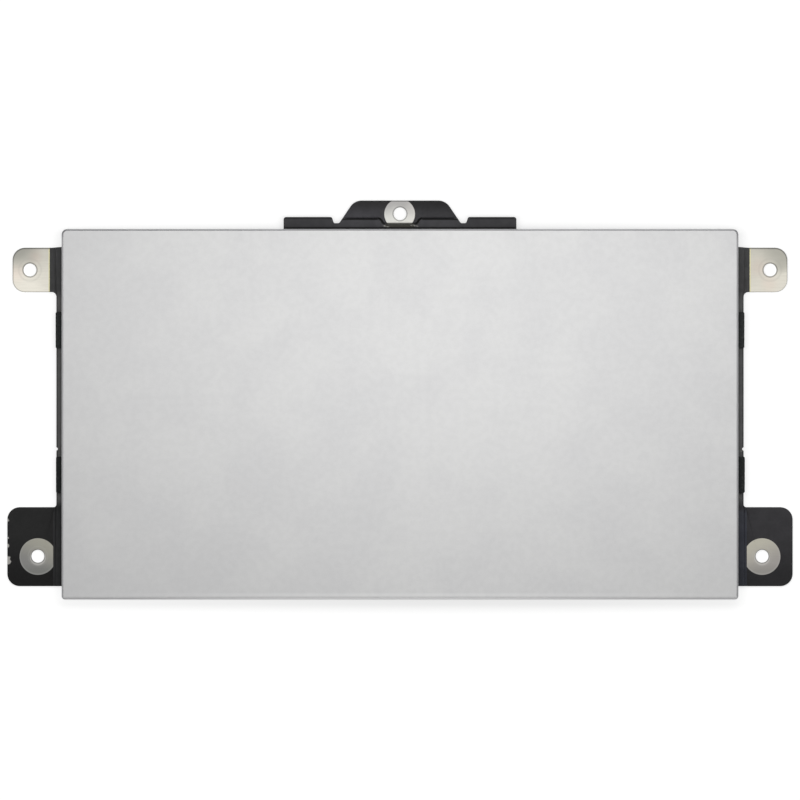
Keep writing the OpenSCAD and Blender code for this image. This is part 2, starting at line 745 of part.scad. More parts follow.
module socket_housing() {
    color([0.86, 0.82, 0.72]) on_board(socket_at) difference() {
        translate([-socket_w / 2, -socket_d / 2, 0]) cube([socket_w, socket_d, socket_h]);
        translate([-channel_w / 2, -socket_d / 2 + cable_stop, socket_floor])
            cube([channel_w, socket_d, channel_top - socket_floor]);
        translate([-channel_w / 2, latch_back, channel_top - slot_clear])
            cube([channel_w, socket_d, socket_h]);
        along_x(channel_w + 2 * pivot_l + 2 * slot_clear)
            translate([pivot_y, pivot_z]) circle(d = pivot_d + 2 * run_clear);
        pin_places() translate([-pin_w / 2, -socket_d / 2 - past, -past])
            cube([pin_w, past + beam_tip + socket_d / 2, past + socket_floor]);
    }
}

module socket_contacts() {
    color([0.83, 0.66, 0.3]) on_board(socket_at) pin_places()
        along_x(pin_w) polygon(contact_shape);
}

module socket_anchor_tabs() {
    out = (socket_w + anchor_size.x) / 2;
    color([0.75, 0.74, 0.7]) on_board(socket_at) for (side = [-1, 1])
        translate([side * out, 0, anchor_size.z / 2]) cube(anchor_size, center = true);
}

module socket_latch() {
    latch_w = channel_w - 2 * slot_clear;
    color([0.12, 0.11, 0.11]) on_board(socket_at) {
        along_x(latch_w) {
            translate([pivot_y, pivot_z]) circle(d = latch_t);
            translate([pivot_y, pivot_z - latch_t / 2]) square([latch_l, latch_t]);
        }
        along_x(channel_w + 2 * pivot_l) translate([pivot_y, pivot_z]) circle(d = pivot_d);
    }
}

// Click switch. In these modules too, Z points away from the board.
module switch_base() {
    color([0.13, 0.13, 0.14]) on_board(switch_at) difference() {
        translate([-switch_w / 2, -switch_d / 2, 0]) cube([switch_w, switch_d, switch_base_h]);
        translate([0, 0, switch_floor]) cylinder(d = well_d, h = well_depth + past);
    }
}

module switch_terminals() {
    out = (switch_w + terminal_size.x) / 2;
    along = (switch_d - terminal_size.y) / 2;
    color([0.78, 0.77, 0.73]) on_board(switch_at) for (side = [-1, 1], row = [-1, 1])
        translate([side * out, row * along, terminal_size.z / 2]) cube(terminal_size, center = true);
}

module switch_dome() {
    color([0.8, 0.79, 0.76]) on_board(switch_at) translate([0, 0, switch_floor]) intersection() {
        translate([0, 0, dome_rise - dome_sphere_r]) difference() {
            sphere(r = dome_sphere_r);
            sphere(r = dome_sphere_r - dome_t);
        }
        cylinder(d = well_d, h = dome_rise + past);
    }
}

module switch_cover() {
    color([0.76, 0.76, 0.74]) on_board(switch_at) {
        translate([0, 0, switch_base_h]) difference() {
            translate([-switch_w / 2, -switch_d / 2, 0]) cube([switch_w, switch_d, cover_t]);
            translate([0, 0, -past]) cylinder(d = nub_d + 2 * run_clear, h = cover_t + 2 * past);
        }
        for (side = [-1, 1])
            translate([side * (switch_w + clip_size.x) / 2, 0, (switch_h + terminal_size.z) / 2])
                cube([clip_size.x, clip_size.y, switch_h - terminal_size.z], center = true);
    }
}

module switch_plunger() {
    color([0.2, 0.2, 0.21]) on_board(switch_at) translate([0, 0, switch_base_h - plunger_flange_t]) {
        cylinder(d = plunger_flange_d, h = plunger_flange_t);
        cylinder(d = nub_d, h = plunger_flange_t + cover_t + nub_out);
    }
}

support_frame();
rear_bracket();
mirror([1, 0, 0]) hinge_leaf();  // hinge_leaf_left
hinge_leaf();  // hinge_leaf_right
hinge_rivets();
side_dampers();
down_stop_pads();
touch_glass();
glass_adhesive();
sensor_board();
carrier_tape();
carrier_plate();
touch_controller();
chip_capacitors();
chip_resistors();
socket_housing();
socket_contacts();
socket_anchor_tabs();
socket_latch();
switch_base();
switch_terminals();
switch_dome();
switch_cover();
switch_plunger();
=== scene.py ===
import math

import bmesh
import bpy
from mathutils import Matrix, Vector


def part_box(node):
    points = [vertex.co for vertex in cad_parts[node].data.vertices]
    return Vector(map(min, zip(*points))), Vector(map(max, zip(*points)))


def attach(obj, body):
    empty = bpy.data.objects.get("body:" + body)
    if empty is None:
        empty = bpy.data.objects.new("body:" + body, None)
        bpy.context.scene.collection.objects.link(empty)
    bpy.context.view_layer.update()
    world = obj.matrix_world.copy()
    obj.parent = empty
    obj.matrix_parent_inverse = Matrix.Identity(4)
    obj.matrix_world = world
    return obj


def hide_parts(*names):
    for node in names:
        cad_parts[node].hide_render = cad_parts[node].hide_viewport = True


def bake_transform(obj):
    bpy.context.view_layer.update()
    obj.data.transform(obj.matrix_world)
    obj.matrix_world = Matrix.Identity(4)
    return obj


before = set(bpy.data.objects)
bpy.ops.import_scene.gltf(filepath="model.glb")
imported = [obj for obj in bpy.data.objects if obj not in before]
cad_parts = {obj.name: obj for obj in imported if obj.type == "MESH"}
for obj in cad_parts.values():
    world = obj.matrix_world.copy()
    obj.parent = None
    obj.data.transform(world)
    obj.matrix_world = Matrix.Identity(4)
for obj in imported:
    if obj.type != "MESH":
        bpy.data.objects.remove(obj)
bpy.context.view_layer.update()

# Support frame: one 0.5 mm steel sheet, blanked, beaded and folded down at its four ears, then nickel plated.
# Satin black paint covers it, but the rear ears and a ring round each front hole were masked off, so that the
# screws ground the sheet. The paint has chipped along the outer edge of one front ear.
MM = 0.001
BLACK = (0.0, 0.0, 0.0)
WHITE = (1.0, 1.0, 1.0)


def worked_copy(node, name):
    """A copy of a CAD node as one closed mesh, merged from its loose triangles and active."""
    piece = bpy.data.objects.new(name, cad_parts[node].data.copy())
    bpy.context.collection.objects.link(piece)
    bpy.ops.object.select_all(action="DESELECT")
    piece.select_set(True)
    bpy.context.view_layer.objects.active = piece
    piece.data.materials.clear()
    bpy.ops.mesh.customdata_custom_splitnormals_clear()
    bpy.ops.object.mode_set(mode="EDIT")
    bpy.ops.mesh.select_all(action="SELECT")
    bpy.ops.mesh.remove_doubles(threshold=0.001 * MM)
    bpy.ops.object.mode_set(mode="OBJECT")
    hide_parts(node)
    return piece


def ease_edges(piece, width, segments, angle=40):
    """Rounds the edges of the active piece that turn by more than the angle, and keeps its flat faces
    flat. The mesh is worked on at a thousand times its size, because its faces are too small for the
    weighting of their normals."""
    piece.data.transform(Matrix.Scale(1 / MM, 4))
    bevel = piece.modifiers.new("eased edges", "BEVEL")
    bevel.width = width
    bevel.segments = segments
    bevel.limit_method = "ANGLE"
    bevel.angle_limit = math.radians(angle)
    bevel.use_clamp_overlap = False
    bevel.loop_slide = False
    bevel.face_strength_mode = "FSTR_ALL"
    bpy.ops.object.modifier_apply(modifier=bevel.name)
    bpy.ops.object.shade_smooth_by_angle(angle=math.radians(35))
    flat = piece.modifiers.new("flat faces", "WEIGHTED_NORMAL")
    flat.weight = 100
    flat.thresh = 0.0
    flat.keep_sharp = True
    flat.use_face_influence = True
    bpy.ops.object.modifier_apply(modifier=flat.name)
    piece.data.transform(Matrix.Scale(MM, 4))


def new_finish(name):
    """A material, its node tree and its shader."""
    finish = bpy.data.materials.new(name)
    finish.use_nodes = True
    return finish, finish.node_tree, finish.node_tree.nodes["Principled BSDF"]


def feed(tree, socket, value):
    """Links a socket to a value that comes from a node, or sets it to a plain one."""
    if isinstance(value, bpy.types.NodeSocket):
        tree.links.new(value, socket)
    else:
        socket.default_value = value


def maths(tree, operation, *values):
    """One operation on plain values or values that come from nodes."""
    node = tree.nodes.new("ShaderNodeMath")
    node.operation = operation
    for socket, value in zip(node.inputs, values):
        feed(tree, socket, value)
    return node.outputs[0]


def millimetres(tree):
    """The place on the piece in millimetres: as a vector, and its X, Y and Z."""
    scale = tree.nodes.new("ShaderNodeVectorMath")
    scale.operation = "SCALE"
    scale.inputs["Scale"].default_value = 1 / MM
    tree.links.new(tree.nodes.new("ShaderNodeTexCoord").outputs["Object"], scale.inputs[0])
    split = tree.nodes.new("ShaderNodeSeparateXYZ")
    tree.links.new(scale.outputs[0], split.inputs[0])
    return scale.outputs[0], *split.outputs


def noise(tree, place, per_mm, stretch=(1, 1, 1), detail=2):
    """Clouds from 0 to 1, so many to the millimetre, packed closer along an axis by a larger stretch."""
    packed = tree.nodes.new("ShaderNodeVectorMath")
    packed.operation = "MULTIPLY"
    packed.inputs[1].default_value = stretch
    tree.links.new(place, packed.inputs[0])
    clouds = tree.nodes.new("ShaderNodeTexNoise")
    clouds.inputs["Scale"].default_value = per_mm
    clouds.inputs["Detail"].default_value = detail
    tree.links.new(packed.outputs[0], clouds.inputs["Vector"])
    return clouds.outputs[0]


def fade(tree, value, low, high, bottom=0.0, top=1.0):
    """Turns a value smoothly from bottom at low to top at high."""
    node = tree.nodes.new("ShaderNodeMapRange")
    node.interpolation_type = "SMOOTHSTEP"
    for socket, number in zip(node.inputs, (value, low, high, bottom, top)):
        feed(tree, socket, number)
    return node.outputs[0]


def mixed(tree, share, first, second, way="MIX"):
    """Two colours mixed, with that share of the second."""
    node = tree.nodes.new("ShaderNodeMix")
    node.data_type = "RGBA"
    node.blend_type = way
    feed(tree, node.inputs[0], share)
    for socket, colour in zip(node.inputs[6:8], (first, second)):
        feed(tree, socket, colour if isinstance(colour, bpy.types.NodeSocket) else (*colour, 1))
    return node.outputs[2]


def from_point(tree, x, y, point):
    """Distance in plan from a point."""
    across = maths(tree, "SUBTRACT", x, point[0])
    along = maths(tree, "SUBTRACT", y, point[1])
    across = maths(tree, "MULTIPLY", across, across)
    along = maths(tree, "MULTIPLY", along, along)
    return maths(tree, "SQRT", maths(tree, "ADD", across, along))


def spots(tree, x, y, places, ragged, squash=1.0):
    """Spots, each at x, y with a radius, flatter along Y by a larger squash, with ragged edges."""
    total = 0.0
    y = maths(tree, "MULTIPLY", y, squash)
    for px, py, radius in places:
        away = from_point(tree, x, y, (px, py * squash))
        away = maths(tree, "ADD", away, maths(tree, "MULTIPLY", ragged, 0.5))
        total = maths(tree, "MAXIMUM", total, fade(tree, away, radius + 0.3, radius + 0.2))
    return total


def add_bump(tree, shader, height, depth):
    """Relief from a height of 0 to 1, that deep in millimetres."""
    bump = tree.nodes.new("ShaderNodeBump")
    bump.inputs["Distance"].default_value = depth * MM
    tree.links.new(height, bump.inputs["Height"])
    tree.links.new(bump.outputs[0], shader.inputs["Normal"])


def painted_sheet(name, bare_at, paint_tones, plate_tones, chips, rubbed):
    """Black paint on plated steel. bare_at says where the plate was masked and where painted shade darkens
    its edges, and the tones give paint and plate their colours. The paint has come off in chips, and is
    rubbed grey in spots."""
    finish, tree, shader = new_finish(name)
    place, x, y, z = millimetres(tree)
    ragged = noise(tree, place, 5.0)
    masked, glue_line, edge = bare_at(tree, x, y, ragged)
    chipped = spots(tree, x, y, chips, ragged)
    bare = maths(tree, "MAXIMUM", masked, chipped)

    # Paint: slightly clouded, with rubbed specks
    paint = paint_tones(tree, x, y, z)
    cloud = fade(tree, noise(tree, place, 0.5), 0.35, 0.65, 0.0, 0.3)
    paint = mixed(tree, cloud, paint, mixed(tree, 0.5, paint, BLACK))
    specks = fade(tree, noise(tree, place, 4.0, (0.6, 1.0, 1.0)), 0.42, 0.58)
    worn = maths(tree, "MULTIPLY", spots(tree, x, y, rubbed, ragged, 3.0), specks)
    paint = mixed(tree, worn, paint, (0.24, 0.235, 0.225))

    # Plate: rolled along X, with painted shade on its edges, round its holes and on its steep faces
    rolled = noise(tree, place, 3.0, (0.12, 2.0, 1.0), 4)
    plate = plate_tones(tree, place, x, y, rolled)
    plate = mixed(tree, glue_line, plate, (0.74, 0.70, 0.44))
    facing = tree.nodes.new("ShaderNodeSeparateXYZ")
    tree.links.new(tree.nodes.new("ShaderNodeNewGeometry").outputs["Normal"], facing.inputs[0])
    steep = fade(tree, maths(tree, "ABSOLUTE", facing.outputs["Z"]), 0.98, 0.8)
    # Painted shade: the plate is darkened in colour where it turns steep and along the edges from bare_at
    painted_edge_shade = mixed(tree, 0.62, plate, (0.04, 0.04, 0.04))
    plate = mixed(tree, maths(tree, "MAXIMUM", edge, steep), plate, painted_edge_shade)
    plate = mixed(tree, chipped, plate, (0.34, 0.33, 0.31))

    tree.links.new(mixed(tree, bare, paint, plate), shader.inputs["Base Color"])
    tree.links.new(bare, shader.inputs["Metallic"])
    satin = fade(tree, noise(tree, place, 2.0), 0.2, 0.8, 0.42, 0.58)
    brushed = fade(tree, rolled, 0.2, 0.8, 0.28, 0.46)
    rough = maths(tree, "ADD", satin, maths(tree, "MULTIPLY", bare, maths(tree, "SUBTRACT", brushed, satin)))
    tree.links.new(rough, shader.inputs["Roughness"])
    shader.inputs["Specular IOR Level"].default_value = 0.2
    peel = noise(tree, place, 7.0)
    step = maths(tree, "SUBTRACT", maths(tree, "MULTIPLY", peel, 0.4), maths(tree, "MULTIPLY", bare, 0.8))
    add_bump(tree, shader, step, 0.012)
    return finish


rear_hole = (62.95, 22.125)
front_hole = (61.6, -26.575)


def bare_frame(tree, x, y, ragged):
    """The rear ears outside the paint line, and a ring with one flat side round each front hole. Painted
    shade runs round the edges of the rear ears, darkest at the rear, and round their holes."""
    far = maths(tree, "ABSOLUTE", x)
    line = maths(tree, "ADD", far, maths(tree, "MULTIPLY", ragged, 0.08))
    line = maths(tree, "SUBTRACT", line, fade(tree, x, 10.0, -10.0, 0.0, 0.12))
    behind = fade(tree, y, 10.0, 10.1)
    ears = maths(tree, "MULTIPLY", fade(tree, line, 59.48, 59.56), behind)
    glue_line = maths(tree, "MULTIPLY", fade(tree, line, 59.74, 59.66), behind)
    ring = fade(tree, from_point(tree, far, y, (front_hole[0], front_hole[1] - 0.06)), 3.15, 3.07)
    ring = maths(tree, "MULTIPLY", ring, fade(tree, far, 58.97, 59.03))

    # Painted shade along the rounded outline of the rear ears, darkest at the rear, and round their holes
    ear_end, ear_half, ear_r = 65.9, 3.775, 2.1
    past_end = maths(tree, "SUBTRACT", far, ear_end - ear_r)
    past_side = maths(tree, "ABSOLUTE", maths(tree, "SUBTRACT", y, rear_hole[1] - 0.06))
    past_side = maths(tree, "SUBTRACT", past_side, ear_half - ear_r)
    end_part = maths(tree, "MAXIMUM", past_end, 0.0)
    side_part = maths(tree, "MAXIMUM", past_side, 0.0)
    round_corner = from_point(tree, end_part, side_part, (0, 0))
    inside = maths(tree, "MINIMUM", maths(tree, "MAXIMUM", past_end, past_side), 0.0)
    edge = fade(tree, maths(tree, "ADD", round_corner, inside), ear_r - 0.24, ear_r - 0.1)
    at_front = fade(tree, x, -10.0, 10.0, 0.6, 0.15)
    edge = maths(tree, "MULTIPLY", edge, fade(tree, y, 21.5, 25.0, at_front, 1.0))
    rim = fade(tree, from_point(tree, far, y, rear_hole), 1.36, 1.26, 0.0, 0.8)
    edge = maths(tree, "MULTIPLY", maths(tree, "MAXIMUM", edge, rim), behind)
    return maths(tree, "MAXIMUM", ears, ring), glue_line, edge


def frame_paint(tree, x, y, z):
    """Black, and blackest on the front ears. Painted light lightens the rear ears next to the glass and turns
    the side rails grey. A strip of the front ears next to the glass is a little bluer, with painted light
    towards the glass and the rear on the right ear, and painted light on the slope of its fold."""
    far = maths(tree, "ABSOLUTE", x)
    right = fade(tree, x, -10.0, 10.0)
    ears = mixed(tree, fade(tree, x, -20.0, 50.0), (0.0128, 0.0128, 0.0128), (0.035, 0.034, 0.037))
    blackest = fade(tree, x, -20.0, 50.0, 0.95, 0.55)
    ears = mixed(tree, fade(tree, y, -22.0, -31.0), ears, mixed(tree, blackest, ears, BLACK))
    # Painted light: the paint on the rear ears is lighter next to the glass, where the glass throws shade
    rear_ears = mixed(tree, fade(tree, far, 57.4, 59.2), (0.076, 0.076, 0.078), (0.055, 0.055, 0.056))
    paint = mixed(tree, fade(tree, y, -16.5, -19.0), rear_ears, ears)
    # Painted light on the side rails, which turns their black paint grey
    rail = maths(tree, "MULTIPLY", fade(tree, far, 57.0, 57.3), fade(tree, y, 19.0, 17.0))
    rail = maths(tree, "MULTIPLY", rail, fade(tree, y, -18.2, -16.4))
    dust_and_painted_light = mixed(tree, right, (0.15, 0.149, 0.149), (0.122, 0.123, 0.124))
    dust_and_painted_light = mixed(tree, fade(tree, far, 58.12, 58.3, 0.0, 0.45), dust_and_painted_light, BLACK)
    paint = mixed(tree, rail, paint, dust_and_painted_light)
    inner = maths(tree, "MULTIPLY", fade(tree, far, 59.05, 58.95), fade(tree, y, -18.0, -19.5))
    strip = mixed(tree, right, (0.031, 0.0315, 0.033), (0.046, 0.049, 0.063))
    # Painted light on the strip of the right front ear, towards the glass and towards the rear
    strip_painted_light = fade(tree, y, -23.0, -18.5, 0.0, 0.013)
    strip_painted_light = maths(tree, "ADD", strip_painted_light, fade(tree, far, 58.3, 57.5, 0.0, 0.01))
    strip_painted_light = maths(tree, "MULTIPLY", strip_painted_light, right)
    strip = mixed(tree, strip_painted_light, strip, WHITE)
    strip = mixed(tree, fade(tree, y, -26.0, -31.0, 0.0, 0.3), strip, BLACK)
    paint = mixed(tree, inner, paint, strip)
    # Painted light on the slope of the front ears' fold
    slope = maths(tree, "MULTIPLY", fade(tree, z, 0.5, 0.53), fade(tree, z, 0.8, 0.77))
    slope = maths(tree, "MULTIPLY", slope, fade(tree, y, -18.0, -19.5))
    shine = fade(tree, x, -10.0, 10.0, 0.003, 0.002)
    return mixed(tree, slope, paint, mixed(tree, shine, paint, WHITE))


def frame_plate(tree, place, x, y, rolled):
    """Warm and bright on the rear ears, with a painted sheen that darkens them round to their outer rear
    corners, blushed in places and marked by a washer. Darker on the front rings, which is painted shade,
    with a painted sheen towards their rear, painted shade round their holes, and a ring pressed by the
    screw heads."""
    far = maths(tree, "ABSOLUTE", x)
    # Painted sheen: the rear ears darken towards their outer rear corners, its edge shifted by clouds
    drift = maths(tree, "MULTIPLY", maths(tree, "SUBTRACT", noise(tree, place, 0.4), 0.5), 2.5)
    rear = maths(tree, "SUBTRACT", y, rear_hole[1])
    outer = fade(tree, far, rear_hole[0] - 3.0, rear_hole[0] + 3.0, 0.5, 2.5)
    ear_sheen = maths(tree, "ADD", maths(tree, "MULTIPLY", rear, outer), drift)
    bright = mixed(tree, fade(tree, ear_sheen, -3.5, 7.0), (0.85, 0.815, 0.725), (0.37, 0.365, 0.325))
    bright = mixed(tree, fade(tree, x, -10.0, 10.0, 0.0, 0.35), bright, (0.60, 0.58, 0.50))
    for px, py, reach in ((-65.3, 21.6, 2.4), (-62.0, 24.4, 1.8), (61.0, 22.6, 2.6), (62.8, 19.8, 2.2)):
        blush = fade(tree, from_point(tree, x, y, (px, py)), reach, 0.0, 0.0, 0.8)
        bright = mixed(tree, blush, bright, (1.0, 0.93, 0.92), "MULTIPLY")
    stain = fade(tree, from_point(tree, x, y, (64.9, 23.0)), 1.8, 0.4, 0.0, 0.5)
    bright = mixed(tree, stain, bright, (0.42, 0.415, 0.36))
    washer_r, print_r = 1.9, 1.65
    washer = maths(tree, "SUBTRACT", from_point(tree, far, y, rear_hole), washer_r)
    washer = maths(tree, "ADD", maths(tree, "ABSOLUTE", washer), maths(tree, "MULTIPLY", rolled, 0.2))
    washer = fade(tree, washer, 0.36, 0.16, 0.0, 0.16)
    bright = mixed(tree, washer, bright, (0.40, 0.38, 0.35))
    bright = mixed(tree, fade(tree, rolled, 0.45, 0.8, 0.0, 0.22), bright, (0.48, 0.47, 0.42))
    right = fade(tree, x, -10.0, 10.0)
    # Painted shade: the front rings are darker than the rear ears, away from the light, with a painted sheen
    # towards their rear
    shaded_front_plate = mixed(tree, right, (0.22, 0.218, 0.211), (0.33, 0.312, 0.295))
    sheen_slant = 0.5
    sheen = maths(tree, "SUBTRACT", y, maths(tree, "MULTIPLY", far, sheen_slant))
    sheen_at = front_hole[1] - sheen_slant * front_hole[0]
    sheen = fade(tree, sheen, sheen_at - 2.5, sheen_at + 3.5, 0.0, 0.6)
    shaded_front_plate = mixed(tree, sheen, shaded_front_plate, mixed(tree, right, (0.42, 0.405, 0.33), (0.57, 0.55, 0.44)))
    shaded_front_plate = mixed(tree, fade(tree, y, -27.6, -29.2, 0.0, 0.14), shaded_front_plate, (0.0, 0.03, 0.0))
    away = from_point(tree, far, y, front_hole)
    print_ring = maths(tree, "ABSOLUTE", maths(tree, "SUBTRACT", away, print_r))
    print_ring = fade(tree, print_ring, 0.15, 0.05, 0.0, 0.1)
    shaded_front_plate = mixed(tree, print_ring, shaded_front_plate, (0.5, 0.5, 0.48))
    shaded_front_plate = mixed(tree, fade(tree, away, 2.85, 3.05, 0.0, 0.1), shaded_front_plate, (0.7, 0.7, 0.68))
    burr = fade(tree, from_point(tree, far, y, (front_hole[0], front_hole[1] - 0.18)), 1.42, 1.32, 0.0, 0.4)
    shaded_front_plate = mixed(tree, burr, shaded_front_plate, (0.62, 0.61, 0.58))
    # Painted shade round the edge of each front hole
    shaded_front_plate = mixed(tree, fade(tree, away, 1.3, 1.2, 0.0, 0.5), shaded_front_plate, (0.08, 0.08, 0.08))
    return mixed(tree, fade(tree, y, 5.0, -5.0), bright, shaded_front_plate)


frame_chips = [(-66.78, -20.45, 0.28), (-66.65, -23.4, 0.14), (-66.8, -24.75, 0.3), (-66.7, -26.9, 0.36),
               (-66.62, -27.5, 0.44)]
frame_rubs = [(58.1, -8.7, 0.3), (57.9, -16.6, 0.4)]
frame_finish = painted_sheet("black paint on plated frame", bare_frame, frame_paint, frame_plate, frame_chips,
                             frame_rubs)
frame_sheet = worked_copy("support_frame", "frame_sheet")
ease_edges(frame_sheet, 0.1, 3)
frame_sheet.data.materials.append(frame_finish)
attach(frame_sheet, "frame")

# Rear bracket: a second painted steel sheet, riveted on the frame's rear rail. Its flange stands out behind
# the glass, and its middle tab is folded down to the level of the ears. The plate shows in a ring round the
# tab's hole, cut off by the fold, and the paint in front of that ring is rubbed grey.
tab_hole = (0.0, 31.675)


def bare_tab(tree, x, y, ragged):
    """The ring round the tab's hole. Painted shade runs along the tab's end, the fold and the hole."""
    ring = fade(tree, from_point(tree, x, y, (tab_hole[0] - 0.06, tab_hole[1] - 0.05)), 2.64, 2.56)
    ring = maths(tree, "MULTIPLY", ring, fade(tree, y, 30.0, 30.08))
    rim = fade(tree, from_point(tree, x, y, tab_hole), 1.34, 1.24, 0.0, 0.7)
    edge = maths(tree, "MAXIMUM", fade(tree, y, 33.66, 33.82), fade(tree, y, 30.28, 30.12, 0.0, 0.5))
    return ring, 0.0, maths(tree, "MAXIMUM", edge, rim)


def bracket_paint(tree, x, y, z):
    """Grey-black, darker to the end and the right of the tab, with a line of painted shade along the rear
    edge of the flange. Painted shadow makes it blackest in the gap at the glass, and painted shade in the
    crease of the fold, which is drawn a little in front of the steep strip except in the dip."""
    far = maths(tree, "ABSOLUTE", x)
    right = fade(tree, x, -8.0, 8.0)
    tab_front = mixed(tree, right, (0.045, 0.044, 0.049), (0.032, 0.0315, 0.034))
    tab_rear = mixed(tree, right, (0.019, 0.0186, 0.0195), (0.012, 0.012, 0.0125))
    tab = mixed(tree, fade(tree, y, 31.2, 33.6), tab_front, tab_rear)
    flange = mixed(tree, fade(tree, far, 14.0, 8.0), (0.0345, 0.034, 0.0365), (0.044, 0.0435, 0.0475))
    # Painted shade along the fold line at the rear edge of the flange
    line = maths(tree, "MULTIPLY", fade(tree, y, 30.74, 30.8), fade(tree, y, 30.99, 30.93, 0.0, 0.65))
    flange = mixed(tree, maths(tree, "MULTIPLY", line, fade(tree, far, 10.5, 10.9)), flange, BLACK)
    paint = mixed(tree, fade(tree, z, 1.2, 1.28), tab, flange)
    olive = mixed(tree, fade(tree, y, 29.7, 29.8), (0.034, 0.033, 0.028), (0.05, 0.049, 0.042))
    under_ring = maths(tree, "MULTIPLY", fade(tree, far, 2.6, 2.3), fade(tree, y, 30.1, 30.0))
    paint = mixed(tree, under_ring, paint, olive)
    # Painted shade in the steep strip and the crease of the fold
    steep = maths(tree, "MULTIPLY", fade(tree, z, 0.5, 0.53), fade(tree, z, 1.3, 1.27))
    dip = maths(tree, "MULTIPLY", steep, fade(tree, far, 2.5, 2.8, 0.35, 1.0))
    dip = maths(tree, "MULTIPLY", dip, fade(tree, far, 3.9, 3.6))
    crease = maths(tree, "MULTIPLY", fade(tree, y, 30.57, 30.63), fade(tree, y, 30.97, 30.91))
    sides = maths(tree, "MULTIPLY", fade(tree, far, 3.6, 3.9), fade(tree, far, 10.9, 10.5))
    painted_fold_shade = maths(tree, "MAXIMUM", dip, maths(tree, "MULTIPLY", crease, sides))
    # Painted shadow in the gap at the glass
    painted_gap_shadow = fade(tree, y, 29.44, 29.34)
    return mixed(tree, maths(tree, "MAXIMUM", painted_fold_shade, painted_gap_shadow), paint, (0.004, 0.004, 0.004))


def bracket_plate(tree, place, x, y, rolled):
    """Brighter towards the fold, and slightly pink at the right."""
    clouded = maths(tree, "MULTIPLY", noise(tree, place, 0.6), 1.5)
    clear = fade(tree, maths(tree, "ADD", y, clouded), 34.2, 31.0)
    plate = mixed(tree, clear, (0.46, 0.45, 0.44), (0.785, 0.78, 0.735))
    return mixed(tree, fade(tree, x, 0.5, 3.0, 0.0, 0.4), plate, (0.76, 0.735, 0.685))


bracket_rubs = [(-2.7, 29.62, 0.35), (-2.1, 29.55, 0.35), (0.9, 29.6, 0.2), (2.15, 29.62, 0.5),
                (2.9, 29.58, 0.25)]
bracket_finish = painted_sheet("black paint on plated bracket", bare_tab, bracket_paint, bracket_plate, [],
                               bracket_rubs)
bracket_sheet = worked_copy("rear_bracket", "bracket_sheet")
ease_edges(bracket_sheet, 0.08, 3)
bracket_sheet.data.materials.append(bracket_finish)
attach(bracket_sheet, "frame")

# Leaf springs: two strips of 0.15 mm spring steel, etched to shape, that let the touch plate tilt. The rear
# end is riveted on the bracket and the front end is spot welded under the carrier plate, so the neck between
# them bends at each click.


def rolled_metal(name, colour, shade, rough, grain, per_mm=3.0, relief=0.003):
    """Bare metal with the grain of its rolling: colour to shade, and roughness from rough up."""
    finish, tree, shader = new_finish(name)
    place = millimetres(tree)[0]
    lines = noise(tree, place, per_mm, grain, 4)
    stain = noise(tree, place, 0.3)
    tone = mixed(tree, fade(tree, lines, 0.25, 0.75), colour, shade)
    tone = mixed(tree, fade(tree, stain, 0.45, 0.75, 0.0, 0.35), tone, shade)
    tree.links.new(tone, shader.inputs["Base Color"])
    shader.inputs["Metallic"].default_value = 1.0
    tree.links.new(fade(tree, lines, 0.2, 0.8, rough, rough + 0.18), shader.inputs["Roughness"])
    add_bump(tree, shader, lines, relief)
    return finish


def cut_at(axis, places):
    """In edit mode, cuts the whole mesh across X (axis 0) or Y (axis 1) at each place in millimetres."""
    normal = [int(axis == each) for each in range(3)]
    for at in places:
        bpy.ops.mesh.select_all(action="SELECT")
        bpy.ops.mesh.bisect(plane_co=[share * at * MM for share in normal], plane_no=normal)


neck, neck_cuts = (17.55, 22.55), 12
weld_xs, weld_ys = (29.0, 31.0, 33.0, 35.0), (14.4, 16.2)
leaf_finish = rolled_metal("rolled spring steel", (0.62, 0.61, 0.58), (0.45, 0.44, 0.42), 0.22,
                           (2.0, 0.1, 1.0))
tree = leaf_finish.node_tree
shader = tree.nodes["Principled BSDF"]
place, x, y, z = millimetres(tree)
far = maths(tree, "ABSOLUTE", x)
to_weld = 9.0
for weld_x in weld_xs:
    for weld_y in weld_ys:
        to_weld = maths(tree, "MINIMUM", to_weld, from_point(tree, far, y, (weld_x, weld_y)))
steel_tone = shader.inputs["Base Color"].links[0].from_socket
steel_tone = mixed(tree, fade(tree, to_weld, 0.6, 0.35, 0.0, 0.8), steel_tone, (0.34, 0.25, 0.16))
steel_tone = mixed(tree, fade(tree, to_weld, 0.28, 0.2), steel_tone, (0.5, 0.5, 0.5))
tree.links.new(steel_tone, shader.inputs["Base Color"])
for side in ("left", "right"):
    leaf = worked_copy("hinge_leaf_" + side, "leaf_spring_" + side)
    bpy.ops.object.mode_set(mode="EDIT")
    cut_at(1, [neck[0] + (neck[1] - neck[0]) * cut / neck_cuts for cut in range(neck_cuts + 1)])
    bpy.ops.object.mode_set(mode="OBJECT")
    ease_edges(leaf, 0.02, 1)
    leaf.data.materials.append(leaf_finish)
    middle = (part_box("hinge_leaf_" + side)[0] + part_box("hinge_leaf_" + side)[1]) / 2
    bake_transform(leaf)

# Rivets: four zinc-plated steel rivets through leaf, bracket and rail. Each has a low domed head on the leaf
# and a tail that was pressed flush into the rail's countersink.


def select_faces(piece, test):
    """In edit mode, selects only the faces whose middle and normal pass the test."""
    bpy.ops.mesh.select_mode(type="FACE")
    bpy.ops.mesh.select_all(action="DESELECT")
    mesh = bmesh.from_edit_mesh(piece.data)
    for face in mesh.faces:
        if test(face.calc_center_median(), face.normal):
            face.select_set(True)
    bmesh.update_edit_mesh(piece.data)


